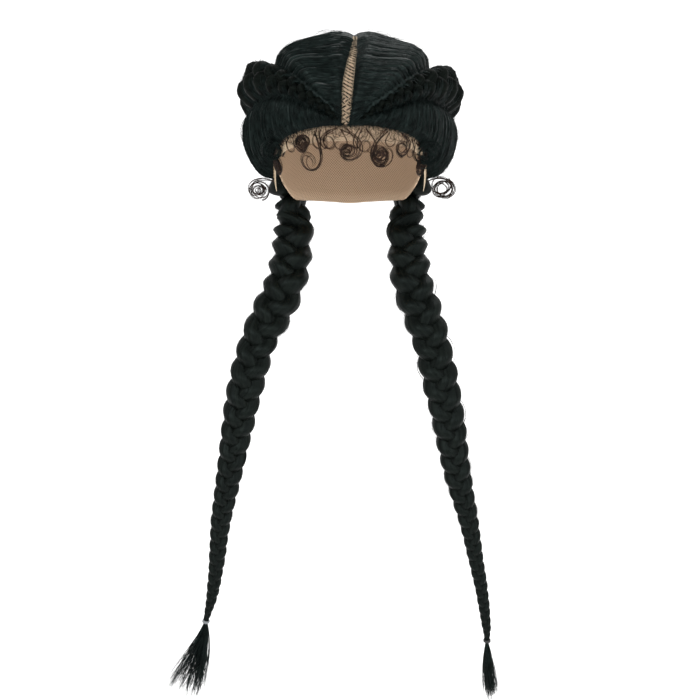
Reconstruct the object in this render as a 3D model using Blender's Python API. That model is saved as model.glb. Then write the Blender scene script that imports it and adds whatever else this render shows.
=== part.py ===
"""Braid wig: a lace-front wig with a centre parting and two long plaits.

Units are metres, +Z is up and the face opening looks along -Y. The origin is the inside of the crown,
where the cap sits on top of a head. "Left" and "right" are the wearer's: the left plait is at +X.
Everything on the head is placed by a direction from the head's centre and a height above the head form.
"""

import math
from collections import namedtuple

import bmesh
import bpy
from mathutils import Vector

# The head form that the cap fits, measured from its centre.
HEAD_HALF_WIDTH = 0.075
HEAD_FRONT = 0.092
HEAD_BACK = 0.096
HEAD_CROWN = 0.088
HEAD_NAPE = 0.130
HEAD_POWER = 2.25
HEAD_CENTRE = Vector((0, 0, -HEAD_CROWN))

# Walls and gaps.
CAP_WALL = 0.0015
LACE_WALL = 0.0010
GAP = 0.0004
HAIR_SEAT = CAP_WALL + 0.0012
HAIR_EDGE = 0.0016

# The cap's edge, from the centre of the forehead round to the nape, the same on both sides.
# lace_degrees is how far the front lace reaches past it.
Rim = namedtuple("Rim", "azimuth elevation lace_degrees")
RIM = (
    Rim(0, 24, 7.5),
    Rim(15, 23.2, 7.5),
    Rim(30, 19, 7.5),
    Rim(44, 12, 7.5),
    Rim(56, 2, 8),
    Rim(65, -13, 9),
    Rim(71, -27, 9),
    Rim(80, -28, 6),
    Rim(89, -11, 0),
    Rim(100, -8, 0),
    Rim(107.5, -17, 0),
    Rim(114, -38, 0),
    Rim(128, -51, 0),
    Rim(180, -55, 0),
)
WIDEST_COLUMN = 11
CAP_ROWS = 5
LACE_END_AZIMUTH = 80
LACE_GAP_DEGREES = 0.5

# The hair on each half of the head, from the hairline to the nape: the parting's angle over the head,
# the braid's path with its half width, height and the lift of its underside off the head, the point of
# the cap's edge that is combed to it, and how full the crown hair and the side hair are.
Hair = namedtuple(
    "Hair",
    "part_angle braid_azimuth braid_elevation braid_half braid_height braid_lift rim_azimuth"
    " crown_full side_full",
)
HAIR = (
    Hair(26, 10, 29, 0.0028, 0.0065, 0.000, 3.8, 0.3, 0.30),
    Hair(40, 20, 34.5, 0.0055, 0.0120, 0.000, 17, 0.7, 0.60),
    Hair(60, 48, 41, 0.0090, 0.0190, 0.001, 40, 1.0, 0.85),
    Hair(82, 77, 37, 0.0140, 0.0290, 0.004, 62, 1.0, 1.60),
    Hair(104, 104, 23, 0.0185, 0.0380, 0.003, 80, 0.9, 2.70),
    Hair(128, 122, 4, 0.0200, 0.0355, 0.002, 104, 0.8, 2.30),
    Hair(158, 132, -14, 0.0195, 0.0370, 0.006, 108.5, 0.8, 2.00),
    Hair(196, 136, -31, 0.0195, 0.0370, 0.005, 114.5, 0.8, 1.00),
    Hair(232, 137, -46, 0.0190, 0.0340, 0.001, 118, 0.7, 1.00),
)
# How thick the crown hair is at steps from the parting to the braid, and the side hair at steps from the
# hairline to the braid, where it is fullest.
CROWN_THICKNESS = (0.0016, 0.0036, 0.0036, 0.0062, 0.0110, 0.0135, 0.0090)
CROWN_FULLNESS = {1: 1.22, -1: 1.0}
SIDE_THICKNESS = (0.0016, 0.0050, 0.0072, 0.0085, 0.0090, 0.0085, 0.0060)
LEFT_BRAID_DROP = 3.0
STATIONS_PER_ROW = 2.5
SIDE_HAIR_END = 5.0
LOCK_RELIEF = 0.0007
WIDEST_THICKNESS = 0.45
BRAID_GAP = 0.0008
BRAID_SEAT = CAP_WALL + 0.0010
HEAD_BRAID_CORNERS = 5

# The parting: its half width and its drift to the wearer's left, from the forehead over the crown.
Parting = namedtuple("Parting", "angle half_width drift")
PARTING = (
    Parting(24, 0.0048, -0.0042),
    Parting(50, 0.0045, -0.0015),
    Parting(75, 0.0035, 0.003),
    Parting(95, 0.0022, 0.005),
    Parting(125, 0.0018, 0.003),
    Parting(160, 0.0005, 0.0),
    Parting(232, 0.0005, 0.0),
)
PARTING_LACE_END = 104
PARTING_COLUMNS = 12

# The hanging plaits, from the nape to the hair tie. "out" is the distance from the middle plane.
Plait = namedtuple("Plait", "out y z half_width")
RIGHT_PLAIT = (
    Plait(0.0555, 0.0490, -0.1965, 0.0200),
    Plait(0.0570, 0.0200, -0.2200, 0.0205),
    Plait(0.0630, -0.0060, -0.2420, 0.0210),
    Plait(0.0755, -0.0210, -0.2650, 0.0205),
    Plait(0.0890, -0.0330, -0.2900, 0.0186),
    Plait(0.1000, -0.0440, -0.3270, 0.0182),
    Plait(0.1080, -0.0500, -0.3640, 0.0165),
    Plait(0.1170, -0.0560, -0.4150, 0.0134),
    Plait(0.1270, -0.0590, -0.4710, 0.0102),
    Plait(0.1325, -0.0600, -0.5210, 0.0078),
    Plait(0.1375, -0.0600, -0.5560, 0.0058),
    Plait(0.1415, -0.0600, -0.5730, 0.0038),
    Plait(0.1440, -0.0600, -0.5840, 0.0026),
)
LEFT_PLAIT = (
    Plait(0.0555, 0.0490, -0.1965, 0.0200),
    Plait(0.0565, 0.0200, -0.2190, 0.0203),
    Plait(0.0605, -0.0060, -0.2400, 0.0208),
    Plait(0.0715, -0.0240, -0.2690, 0.0200),
    Plait(0.0805, -0.0350, -0.2970, 0.0186),
    Plait(0.0890, -0.0450, -0.3330, 0.0180),
    Plait(0.0970, -0.0510, -0.3730, 0.0162),
    Plait(0.1060, -0.0565, -0.4250, 0.0134),
    Plait(0.1165, -0.0590, -0.4700, 0.0100),
    Plait(0.1240, -0.0600, -0.5110, 0.0078),
    Plait(0.1310, -0.0600, -0.5490, 0.0064),
    Plait(0.1360, -0.0600, -0.5860, 0.0048),
    Plait(0.1370, -0.0600, -0.5980, 0.0034),
    Plait(0.1373, -0.0600, -0.6060, 0.0026),
)
PLAIT_CORNERS = 10
RINGS_PER_LOBE = 4
STEPS_PER_ROW = 60
SETTLE_LENGTH = 0.06
STRAND_SWING = 0.40
STRAND_DIVE = 0.26
STRAND_RADIUS = 0.60
WEAVE_CORE = 0.70
PLAIT_FLATNESS = 0.90
START_HEIGHT = 0.0165
LOBE_BASE = 0.0045
LOBE_SHARE = 0.92
START_HALF_WIDTH = 0.0190
START_GAP = 0.0006

# Hair ties, and the loose ends below them.
TIE_RADIUS = 0.0040
TIE_WIRE = 0.0010
TIE_CLEARANCE = 0.0010
TASSEL_HEAD = 0.006
LOCK_SIDES = 5
LOCK_RINGS = 6
Tassel = namedtuple("Tassel", "length lean_out spread_in spread_out depth lock_radius locks")
RIGHT_TASSEL = Tassel(0.092, 0.014, 0.009, 0.022, 0.007, 0.0040, 6)
LEFT_TASSEL = Tassel(0.072, 0.005, 0.005, 0.005, 0.004, 0.0028, 5)

# Baby hair: each curl is a spiral from its root at the hairline in to a ring lying off the forehead.
Curl = namedtuple("Curl", "name azimuth elevation radius root_azimuth turns half_thickness stand_off")
CURLS = (
    Curl("brow_curl_right_outer", -29, 11.8, 0.0075, -33, 1.3, 0.0014, 0),
    Curl("brow_curl_right_low", -23.6, 2, 0.0082, -21, -1.2, 0.0006, 0),
    Curl("brow_curl_right_inner", -12.5, 13.9, 0.0060, -11, 1.2, 0.0006, 0),
    Curl("brow_curl_centre", -0.9, 9.8, 0.0075, -4, -1.3, 0.0012, 0),
    Curl("brow_curl_left_inner", 18, 5.9, 0.0095, 21, 1.3, 0.0015, 0),
    Curl("brow_curl_left_outer", 32.5, 7.7, 0.0075, 29.5, -1.2, 0.0006, 0),
    Curl("temple_curl_right", -52.5, -9, 0.0080, -48, 1.3, 0.0014, 0),
    Curl("temple_curl_left", 51.5, -8, 0.0090, 47, -1.3, 0.0014, 0),
    Curl("sideburn_curl_right", -77.5, -29.5, 0.0080, -75, 1.3, 0.0012, 0.0185),
    Curl("sideburn_curl_left", 77.5, -27, 0.0082, 76, -1.3, 0.0013, 0.0195),
)
CURL_RINGS_PER_TURN = 8
CURL_SIDES = 4
ROOT_DROP_DEGREES = 2.2

SHARP_DEGREES = 75
HAIR_COLOUR = (0.010, 0.013, 0.013, 1)
LACE_COLOUR = (0.62, 0.47, 0.32, 1)
CAP_COLOUR = (0.42, 0.27, 0.17, 1)
TIE_COLOUR = (0.060, 0.062, 0.065, 1)


def clear_scene():
    """Remove what the start-up file holds."""
    for item in list(bpy.data.objects):
        bpy.data.objects.remove(item, do_unlink=True)


def make_material(name, colour, roughness):
    """A plain non-metal finish."""
    material = bpy.data.materials.new(name)
    material.use_nodes = True
    shader = material.node_tree.nodes["Principled BSDF"]
    shader.inputs["Base Color"].default_value = colour
    shader.inputs["Roughness"].default_value = roughness
    shader.inputs["Metallic"].default_value = 0.0
    return material


def smooth_row(rows, place):
    """The columns of a table at a fractional row number, on a Catmull-Rom curve through the rows."""
    last = len(rows) - 1
    index = min(int(place), last - 1)
    share = place - index
    around = [rows[min(max(index + step, 0), last)] for step in (-1, 0, 1, 2)]
    values = []
    for before, start, end, after in zip(*around):
        rise = (end - before) / 2
        fall = (after - start) / 2
        values.append(
            start
            + share * rise
            + share**2 * (3 * (end - start) - 2 * rise - fall)
            + share**3 * (2 * (start - end) + rise + fall)
        )
    return type(rows[0])(*values)


def row_at(rows, column, value):
    """The columns of a table where its rising column has this value, on straight lines between rows."""
    for start, end in zip(rows, rows[1:]):
        if value <= end[column]:
            break
    share = (value - start[column]) / (end[column] - start[column])
    share = min(max(share, 0), 1)
    return type(rows[0])(*(a + share * (b - a) for a, b in zip(start, end)))


def direction(azimuth, elevation):
    """The unit direction from the head's centre: azimuth 0 is the face, 90 the wearer's left."""
    turn, rise = math.radians(azimuth), math.radians(elevation)
    return Vector(
        (math.sin(turn) * math.cos(rise), -math.cos(turn) * math.cos(rise), math.sin(rise))
    )


def on_head(towards, height):
    """The point at this height above the head form, in a direction from its centre."""
    unit = towards.normalized()
    half_depth = HEAD_FRONT if unit.y < 0 else HEAD_BACK
    half_height = HEAD_CROWN if unit.z > 0 else HEAD_NAPE
    total = (
        abs(unit.x / HEAD_HALF_WIDTH) ** HEAD_POWER
        + abs(unit.y / half_depth) ** HEAD_POWER
        + abs(unit.z / half_height) ** HEAD_POWER
    )
    return HEAD_CENTRE + unit * (total ** (-1 / HEAD_POWER) + height)


def rim_azimuths(last):
    """Azimuths along the cap's edge, from the centre of the forehead to the last one."""
    azimuths = [0]
    for start, end in zip(RIM, RIM[1:]):
        if end.azimuth > last:
            break
        steps = math.ceil((end.azimuth - start.azimuth) / WIDEST_COLUMN)
        azimuths += [
            start.azimuth + (end.azimuth - start.azimuth) * (step + 1) / steps
            for step in range(steps)
        ]
    return azimuths


def rim_row(azimuth):
    """The cap's edge at any azimuth, on either side."""
    return row_at(RIM, 0, abs((azimuth + 180) % 360 - 180))


def mirrored(point, side):
    """A point made for the wearer's left, moved to this side: 1 is left and -1 is right."""
    return Vector((side * point.x, point.y, point.z))


def add_solid(name, points, faces, material):
    """One closed body with its faces pointing out."""
    mesh = bpy.data.meshes.new(name)
    shape = bmesh.new()
    corners = [shape.verts.new(point) for point in points]
    for face in faces:
        shape.faces.new([corners[index] for index in face])
    bmesh.ops.recalc_face_normals(shape, faces=shape.faces)
    bmesh.ops.triangulate(shape, faces=shape.faces)
    shape.to_mesh(mesh)
    shape.free()
    mesh.materials.append(material)
    mesh.shade_smooth()
    mesh.set_sharp_from_angle(angle=math.radians(SHARP_DEGREES))
    item = bpy.data.objects.new(name, mesh)
    bpy.context.scene.collection.objects.link(item)
    return item


def add_loft(name, rings, material):
    """A closed body through rings of points, capped at both ends."""
    count = len(rings[0])
    points = [point for ring in rings for point in ring]
    faces = [list(range(count)), list(range(len(points) - count, len(points)))]
    for ring in range(len(rings) - 1):
        for corner in range(count):
            after = (corner + 1) % count
            start, end = ring * count, (ring + 1) * count
            faces.append([start + corner, start + after, end + after, end + corner])
    return add_solid(name, points, faces, material)


def add_slab(name, inner, outer, material):
    """A closed body between two sheets, each a grid of points with as many rows and columns."""
    rows, columns = len(inner), len(inner[0])
    points = [point for sheet in (inner, outer) for row in sheet for point in row]
    top = rows * columns

    def at(sheet, row, column):
        return sheet * top + row * columns + column

    faces = []
    for sheet in (0, 1):
        for row in range(rows - 1):
            for column in range(columns - 1):
                faces.append(
                    [
                        at(sheet, row, column),
                        at(sheet, row + 1, column),
                        at(sheet, row + 1, column + 1),
                        at(sheet, row, column + 1),
                    ]
                )
    edge = [(0, column) for column in range(columns)]
    edge += [(row, columns - 1) for row in range(1, rows)]
    edge += [(rows - 1, column) for column in range(columns - 2, -1, -1)]
    edge += [(row, 0) for row in range(rows - 2, 0, -1)]
    for start, end in zip(edge, edge[1:] + edge[:1]):
        faces.append([at(0, *start), at(0, *end), at(1, *end), at(1, *start)])
    return add_solid(name, points, faces, material)


def build_cap(material):
    """The stretch cap: a dome with an open face, arches over the ears and a low nape."""
    half = rim_azimuths(180)
    azimuths = half + [-azimuth for azimuth in reversed(half[1:-1])]
    columns = len(azimuths)
    points = []
    for height in (0, CAP_WALL):
        points.append(on_head(Vector((0, 0, 1)), height))
        for row in range(1, CAP_ROWS + 1):
            for azimuth in azimuths:
                drop = (90 - rim_row(azimuth).elevation) * row / CAP_ROWS
                points.append(on_head(direction(azimuth, 90 - drop), height))
    sheet = 1 + CAP_ROWS * columns
    faces = []
    for column in range(columns):
        after = (column + 1) % columns
        for start in (0, sheet):
            faces.append([start, start + 1 + column, start + 1 + after])
            for row in range(CAP_ROWS - 1):
                upper = start + 1 + row * columns
                lower = upper + columns
                faces.append([upper + column, lower + column, lower + after, upper + after])
        rim = 1 + (CAP_ROWS - 1) * columns
        faces.append([rim + column, rim + after, sheet + rim + after, sheet + rim + column])
    return add_solid("cap", points, faces, material)


def build_front_lace(material):
    """The lace that runs from sideburn to sideburn, past the cap's front edge."""
    half = rim_azimuths(LACE_END_AZIMUTH)
    sheets = []
    for height in (0, LACE_WALL):
        sheet = []
        for azimuth in [-azimuth for azimuth in reversed(half[1:])] + half:
            rim = rim_row(azimuth)
            gap = LACE_GAP_DEGREES
            sheet.append(
                [
                    on_head(direction(azimuth, rim.elevation - gap - share * rim.lace_degrees), height)
                    for share in (0, 0.5, 1)
                ]
            )
        sheets.append(sheet)
    return add_slab("front_lace", *sheets, material)


def parting_direction(angle, sideways):
    """The direction of a point beside the parting, at an angle over the head from the face."""
    rise = math.radians(angle)
    return Vector((sideways / HEAD_CROWN, -math.cos(rise), math.sin(rise)))


def build_parting_lace(material):
    """The strip of lace that shows down the centre parting."""
    sheets = []
    for height in (CAP_WALL + GAP, CAP_WALL + GAP + LACE_WALL):
        sheet = []
        for column in range(PARTING_COLUMNS + 1):
            start = PARTING[0].angle + 1
            angle = start + (PARTING_LACE_END - start) * column / PARTING_COLUMNS
            part = row_at(PARTING, 0, angle)
            sheet.append(
                [
                    on_head(parting_direction(angle, part.drift + lane * part.half_width), height)
                    for lane in (-1, 0, 1)
                ]
            )
        sheets.append(sheet)
    return add_slab("parting_lace", *sheets, material)


def braid_point(place, side):
    """The head braid's path, made for the wearer's left. The one on that side runs a little lower."""
    row = smooth_row(HAIR, place)
    drop = LEFT_BRAID_DROP * math.sin(math.pi * place / (len(HAIR) - 1)) if side == 1 else 0
    return on_head(direction(row.braid_azimuth, row.braid_elevation - drop), 0)


def braid_frame(place, side):
    """Where the head braid runs, its row, and the direction across it, towards the cap's edge."""
    row = smooth_row(HAIR, place)
    step = 0.01
    here = braid_point(place, side)
    before = braid_point(max(place - step, 0), side)
    after = braid_point(min(place + step, len(HAIR) - 1), side)
    across = (after - before).cross(here - HEAD_CENTRE).normalized()
    return here, row, across


def beside_braid(place, side, offset):
    """The direction of a point beside the braid's path: offset is towards the cap's edge."""
    here, _, across = braid_frame(place, side)
    return here - HEAD_CENTRE + across * offset


def add_hair_sheet(name, edges, thicknesses, end_place, side, material):
    """Combed hair between two edges.

    edges(place) gives the edges' directions, made for the left, and how full the hair is there.
    """
    inner, outer = [], []
    stations = round(end_place * STATIONS_PER_ROW)
    for station in range(stations + 1):
        place = end_place * station / stations
        start, end, full = edges(place)
        start, end = start.normalized(), end.normalized()
        most = WIDEST_THICKNESS * (on_head(start, 0) - on_head(end, 0)).length
        low, high = [], []
        for lane, thickness in enumerate(thicknesses):
            share = lane / (len(thicknesses) - 1)
            towards = mirrored(start.slerp(end, share), side)
            ridge = LOCK_RELIEF * (-1) ** station * math.sin(math.pi * share)
            height = max(min(thickness * full, most), HAIR_EDGE) + ridge
            low.append(on_head(towards, HAIR_SEAT))
            high.append(on_head(towards, HAIR_SEAT + height))
        inner.append(low)
        outer.append(high)
    return add_slab(name, inner, outer, material)


def build_hair_sheets(side, word, material):
    """The crown hair from the parting to the braid, and the side hair from the hairline up to it."""
    crown = [thickness * CROWN_FULLNESS[side] for thickness in CROWN_THICKNESS]

    def crown_edges(place):
        row = smooth_row(HAIR, place)
        part = row_at(PARTING, 0, row.part_angle)
        inner = part.half_width + GAP + side * part.drift
        outer = beside_braid(place, side, -(row.braid_half + BRAID_GAP))
        return parting_direction(row.part_angle, inner), outer, row.crown_full

    def side_edges(place):
        row = smooth_row(HAIR, place)
        rim = rim_row(row.rim_azimuth)
        fade = max(0, 1 - place / 2)
        front_drift = Vector((side * PARTING[0].drift / HEAD_FRONT * fade, 0, 0))
        return (
            direction(row.rim_azimuth, rim.elevation + 0.3) + front_drift,
            beside_braid(place, side, row.braid_half + BRAID_GAP),
            row.side_full,
        )

    last = len(HAIR) - 1
    add_hair_sheet("crown_hair_" + word, crown_edges, crown, last, side, material)
    add_hair_sheet("side_hair_" + word, side_edges, SIDE_THICKNESS, SIDE_HAIR_END, side, material)


def weave_reach(turned, angle):
    """How far the three woven strands reach from the middle, as a share of the half width."""
    ray = Vector((math.cos(angle), math.sin(angle)))
    reach = WEAVE_CORE
    for strand in range(3):
        phase = turned + 2 * math.pi * strand / 3
        centre = Vector((STRAND_SWING * math.sin(phase), STRAND_DIVE * math.sin(2 * phase)))
        along = centre.dot(ray)
        inside = along**2 - centre.length_squared + STRAND_RADIUS**2
        if inside > 0:
            reach = max(reach, along + math.sqrt(inside))
    return reach


def weave_turn(length, half_width):
    """The angle that the weave turns through over this length."""
    return 2 * math.pi * length / (3 * (LOBE_BASE + LOBE_SHARE * half_width))


def build_head_braid(side, word, material):
    """The raised braid on the head: strands that cross over a ridge, flat where it meets the cap.

    Its weave ends in step with the hanging plait that it runs into.
    """
    turn_step = 2 * math.pi / (3 * RINGS_PER_LOBE)
    frames = [
        braid_frame(step / STEPS_PER_ROW, side) for step in range((len(HAIR) - 1) * STEPS_PER_ROW + 1)
    ]
    turns = [
        weave_turn((after[0] - before[0]).length, after[1].braid_half)
        for before, after in zip(frames, frames[1:])
    ]
    turned = wanted = -sum(turns)
    rings = []
    for (here, row, across), turn in zip(frames, [0.0, *turns]):
        turned += turn
        if turned < wanted and here is not frames[-1][0]:
            continue
        wanted += turn_step
        seat = BRAID_SEAT + row.braid_lift
        outline = []
        for corner in range(HEAD_BRAID_CORNERS + 1):
            angle = math.pi * corner / HEAD_BRAID_CORNERS
            reach = weave_reach(turned, angle)
            outline.append(
                (
                    math.cos(angle) * reach * row.braid_half,
                    math.sin(angle) * reach * row.braid_height,
                )
            )
        outline[-1] = (outline[-1][0], 0)
        outline.append((0, 0))
        rings.append(
            [
                mirrored(on_head(here - HEAD_CENTRE + across * offset, seat + height), side)
                for offset, height in outline
            ]
        )
    add_loft("head_braid_" + word, rings, material)


def plait_spine(plait, side):
    """Stations down a plait on the wearer's left, from the end of the head braid to the tie.

    Each has its middle, its half width, the directions across and along it and its turn of the weave.
    """
    here, _, first_across = braid_frame(len(HAIR) - 1, side)
    outward = (here - HEAD_CENTRE).normalized()
    first_down = outward.cross(first_across)
    start = on_head(outward, START_HEIGHT) + first_down * START_GAP
    rows = [Plait(start.x, start.y, start.z, START_HALF_WIDTH), *plait]
    turn_step = 2 * math.pi / (3 * RINGS_PER_LOBE)
    last = len(rows) - 1
    spine = []
    turned, wanted, travelled = 0.0, 0.0, 0.0
    previous = None
    for step in range(last * STEPS_PER_ROW + 1):
        row = smooth_row(rows, step / STEPS_PER_ROW)
        point = Vector((row.out, row.y, row.z))
        if previous is not None:
            length = (point - previous).length
            travelled += length
            turned += weave_turn(length, row.half_width)
        previous = point
        if turned < wanted and step < last * STEPS_PER_ROW:
            continue
        wanted += turn_step
        ahead = smooth_row(rows, min((step + 1) / STEPS_PER_ROW, last))
        behind = smooth_row(rows, max((step - 1) / STEPS_PER_ROW, 0))
        tangent = Vector((ahead.out - behind.out, ahead.y - behind.y, ahead.z - behind.z))
        settle = min(travelled / SETTLE_LENGTH, 1)
        tangent = first_down.lerp(tangent.normalized(), min(3 * settle, 1)).normalized()
        across = first_across.lerp(Vector((-1, 0, 0)), settle)
        across = (across - tangent * across.dot(tangent)).normalized()
        spine.append((point, row.half_width, across, tangent, turned))
    return spine


def build_plait(plait, side, word, material):
    """A hanging plait: full lobes that cross from side to side, on the front and on the back."""
    spine = plait_spine(plait, side)
    rings = []
    for point, half_width, across, tangent, turned in spine:
        depth = tangent.cross(across).normalized()
        ring = []
        for corner in range(PLAIT_CORNERS):
            angle = 2 * math.pi * corner / PLAIT_CORNERS
            reach = weave_reach(turned, angle) * half_width
            place = across * math.cos(angle) + depth * math.sin(angle) * PLAIT_FLATNESS
            ring.append(mirrored(point + place * reach, side))
        rings.append(ring)
    add_loft("plait_" + word, rings, material)
    return spine[-1][0], spine[-1][3]


def build_tie(end, tangent, side, word, material):
    """The small elastic ring round the plait's end."""
    first = tangent.orthogonal().normalized()
    second = tangent.cross(first)
    around, section = 14, 5
    points = []
    for step in range(around):
        angle = 2 * math.pi * step / around
        out = first * math.cos(angle) + second * math.sin(angle)
        for corner in range(section):
            turn = 2 * math.pi * corner / section
            reach = TIE_RADIUS + TIE_WIRE * math.cos(turn)
            points.append(mirrored(end + out * reach + tangent * TIE_WIRE * math.sin(turn), side))
    faces = []
    for step in range(around):
        for corner in range(section):
            here, there = step * section, (step + 1) % around * section
            after = (corner + 1) % section
            faces.append([here + corner, here + after, there + after, there + corner])
    add_solid("hair_tie_" + word, points, faces, material)


def add_lock(name, path, radii, side, material):
    """A lock of hair: a tube through a path of points with a radius at each."""
    rings = []
    for point, radius in zip(path, radii):
        ring = []
        for corner in range(LOCK_SIDES):
            angle = 2 * math.pi * corner / LOCK_SIDES
            out = Vector((radius * math.cos(angle), radius * math.sin(angle), 0))
            ring.append(mirrored(point + out, side))
        rings.append(ring)
    return add_loft(name, rings, material)


def build_tassel(tassel, end, tangent, side, word, material):
    """The loose end below the tie: tapering locks fused to a narrow head."""
    start = end + tangent * TIE_CLEARANCE
    head = [start + tangent * TASSEL_HEAD * share for share in (0, 0.7, 1.9)]
    body = add_lock(
        "tassel_" + word, head, [0.0021, 0.0023, 0.0015], side, material
    )
    for lock in range(tassel.locks):
        fan = 2 * lock / (tassel.locks - 1) - 1
        reach_out = tassel.lean_out + (tassel.spread_out if fan > 0 else tassel.spread_in) * fan
        reach_deep = tassel.depth * (-1) ** lock
        length = tassel.length * (1 - 0.14 * abs(fan) - 0.09 * (lock % 2))
        first = start + tangent * TASSEL_HEAD * (0.35 + 0.07 * lock)
        first += Vector((0.0003 * fan, 0.0002 * (-1) ** lock, 0))
        path, radii = [], []
        for step in range(LOCK_RINGS):
            along = step / (LOCK_RINGS - 1)
            path.append(
                first
                + Vector((reach_out, reach_deep, 0)) * along**1.3
                + Vector((0, 0, (first.z - start.z - length) * along))
            )
            radii.append(0.0011 + tassel.lock_radius * math.sin(math.pi * (0.92 * along)) ** 0.8)
        piece = add_lock(f"lock_{word}_{lock}", path, radii, side, material)
        piece.hide_render = True
        piece.display_type = "WIRE"
        join = body.modifiers.new("join lock", "BOOLEAN")
        join.operation = "UNION"
        join.solver = "EXACT"
        join.object = piece


def below_rim(towards):
    """The same direction, moved down where it would come too near the hairline."""
    unit = towards.normalized()
    azimuth = math.degrees(math.atan2(unit.x, -unit.y))
    elevation = math.degrees(math.asin(unit.z))
    return direction(azimuth, min(elevation, rim_row(azimuth).elevation - ROOT_DROP_DEGREES))


def build_curl(curl, material):
    """One curl of baby hair, rooted on the front lace. One that stands off the head faces forward."""
    centre_towards = direction(curl.azimuth, curl.elevation)
    centre = on_head(centre_towards, curl.stand_off)
    facing = Vector((0, -1, 0)) if curl.stand_off else centre_towards
    root_rim = rim_row(curl.root_azimuth)
    base_height = LACE_WALL + GAP + curl.half_thickness
    root = on_head(
        direction(curl.root_azimuth, root_rim.elevation - ROOT_DROP_DEGREES), base_height
    )
    across = Vector((0, 0, 1)).cross(facing).normalized()
    rise = facing.cross(across).normalized()
    away = root - centre
    first_angle = math.atan2(away.dot(rise), away.dot(across))
    reach = math.hypot(away.dot(rise), away.dot(across))
    ring_count = int(CURL_RINGS_PER_TURN * (abs(curl.turns) + 0.35))
    centreline, outwards, radii = [], [], []
    for step in range(ring_count + 1):
        share = step / ring_count
        angle = first_angle + 2 * math.pi * curl.turns * share**1.4
        wind = math.exp(-7 * share)
        distance = curl.radius * (1 - 0.42 * share) * (1 - wind) + reach * wind
        point = centre + across * distance * math.cos(angle) + rise * distance * math.sin(angle)
        if curl.stand_off:
            point += facing * away.dot(facing) * wind
            outwards.append(facing)
        else:
            point = on_head(below_rim(point - HEAD_CENTRE), base_height)
            outwards.append((point - HEAD_CENTRE).normalized())
        centreline.append(point)
        radii.append(curl.half_thickness * (1 - 0.55 * share))
    rings = []
    for step, (point, outward, radius) in enumerate(zip(centreline, outwards, radii)):
        after = centreline[min(step + 1, ring_count)]
        before = centreline[max(step - 1, 0)]
        tangent = (after - before).normalized()
        beside = tangent.cross(outward).normalized()
        above = beside.cross(tangent)
        rings.append(
            [
                point
                + beside * radius * math.cos(2 * math.pi * corner / CURL_SIDES)
                + above * radius * math.sin(2 * math.pi * corner / CURL_SIDES)
                for corner in range(CURL_SIDES)
            ]
        )
    add_loft(curl.name, rings, material)


def build_wig():
    clear_scene()
    hair = make_material("hair", HAIR_COLOUR, 0.38)
    lace = make_material("lace", LACE_COLOUR, 0.70)
    cap_net = make_material("cap_net", CAP_COLOUR, 0.75)
    elastic = make_material("elastic", TIE_COLOUR, 0.45)
    build_cap(cap_net)
    build_front_lace(lace)
    build_parting_lace(lace)
    for side, word, plait, tassel in (
        (1, "left", LEFT_PLAIT, LEFT_TASSEL),
        (-1, "right", RIGHT_PLAIT, RIGHT_TASSEL),
    ):
        build_hair_sheets(side, word, hair)
        build_head_braid(side, word, hair)
        end, tangent = build_plait(plait, side, word, hair)
        build_tie(end, tangent, side, word, elastic)
        build_tassel(tassel, end, tangent, side, word, hair)
    for curl in CURLS:
        build_curl(curl, hair)


build_wig()
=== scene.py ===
"""Braid wig: a lace-front wig with a centre parting, two raised braids and two long plaits.

Units are metres, +Z is up and the face opening looks along -Y. "Left" and "right" are the wearer's.
Everything on the head is placed by a direction from the head's centre and a height above the head form.
"""

import math
import random
from collections import namedtuple

import bpy
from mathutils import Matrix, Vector, noise


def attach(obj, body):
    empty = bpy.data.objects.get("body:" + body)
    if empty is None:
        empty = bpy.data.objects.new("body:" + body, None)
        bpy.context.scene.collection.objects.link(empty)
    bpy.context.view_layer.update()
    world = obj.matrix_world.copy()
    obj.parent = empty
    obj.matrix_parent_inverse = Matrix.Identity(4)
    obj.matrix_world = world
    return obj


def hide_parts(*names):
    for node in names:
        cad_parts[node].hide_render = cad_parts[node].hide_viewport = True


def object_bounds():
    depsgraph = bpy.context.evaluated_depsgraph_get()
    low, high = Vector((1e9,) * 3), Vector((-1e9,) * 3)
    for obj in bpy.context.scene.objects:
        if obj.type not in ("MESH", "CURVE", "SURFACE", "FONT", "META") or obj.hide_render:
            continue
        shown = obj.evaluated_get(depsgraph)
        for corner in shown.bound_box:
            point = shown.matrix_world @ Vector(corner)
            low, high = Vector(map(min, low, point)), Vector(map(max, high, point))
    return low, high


bl_info = {
    "name": "Braid wig",
    "version": (1, 0, 0),
    "blender": (4, 5, 0),
    "location": "View3D > Sidebar > Wig",
    "description": "Builds a lace-front braid wig around its packed frame",
    "category": "Add Mesh",
}

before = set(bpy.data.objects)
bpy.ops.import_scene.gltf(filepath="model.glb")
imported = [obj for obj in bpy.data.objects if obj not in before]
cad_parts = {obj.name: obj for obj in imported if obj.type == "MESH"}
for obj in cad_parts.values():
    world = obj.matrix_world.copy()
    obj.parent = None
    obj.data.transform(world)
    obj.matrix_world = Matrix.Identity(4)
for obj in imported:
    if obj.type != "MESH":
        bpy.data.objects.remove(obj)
CAD_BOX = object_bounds()

# The head form that the cap fits, measured from its centre.
HEAD_HALF_WIDTH = 0.075
HEAD_FRONT = 0.092
HEAD_BACK = 0.096
HEAD_CROWN = 0.088
HEAD_NAPE = 0.130
HEAD_POWER = 2.25
HEAD_CENTRE = Vector((0, 0, -HEAD_CROWN))

# Walls and gaps.
CAP_WALL = 0.0015
LACE_WALL = 0.0010
GAP = 0.0004
HAIR_SEAT = CAP_WALL + 0.0012
HAIR_EDGE = 0.0016
BRAID_GAP = 0.0008
BRAID_SEAT = CAP_WALL + 0.0010
WIDEST_THICKNESS = 0.45

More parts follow.
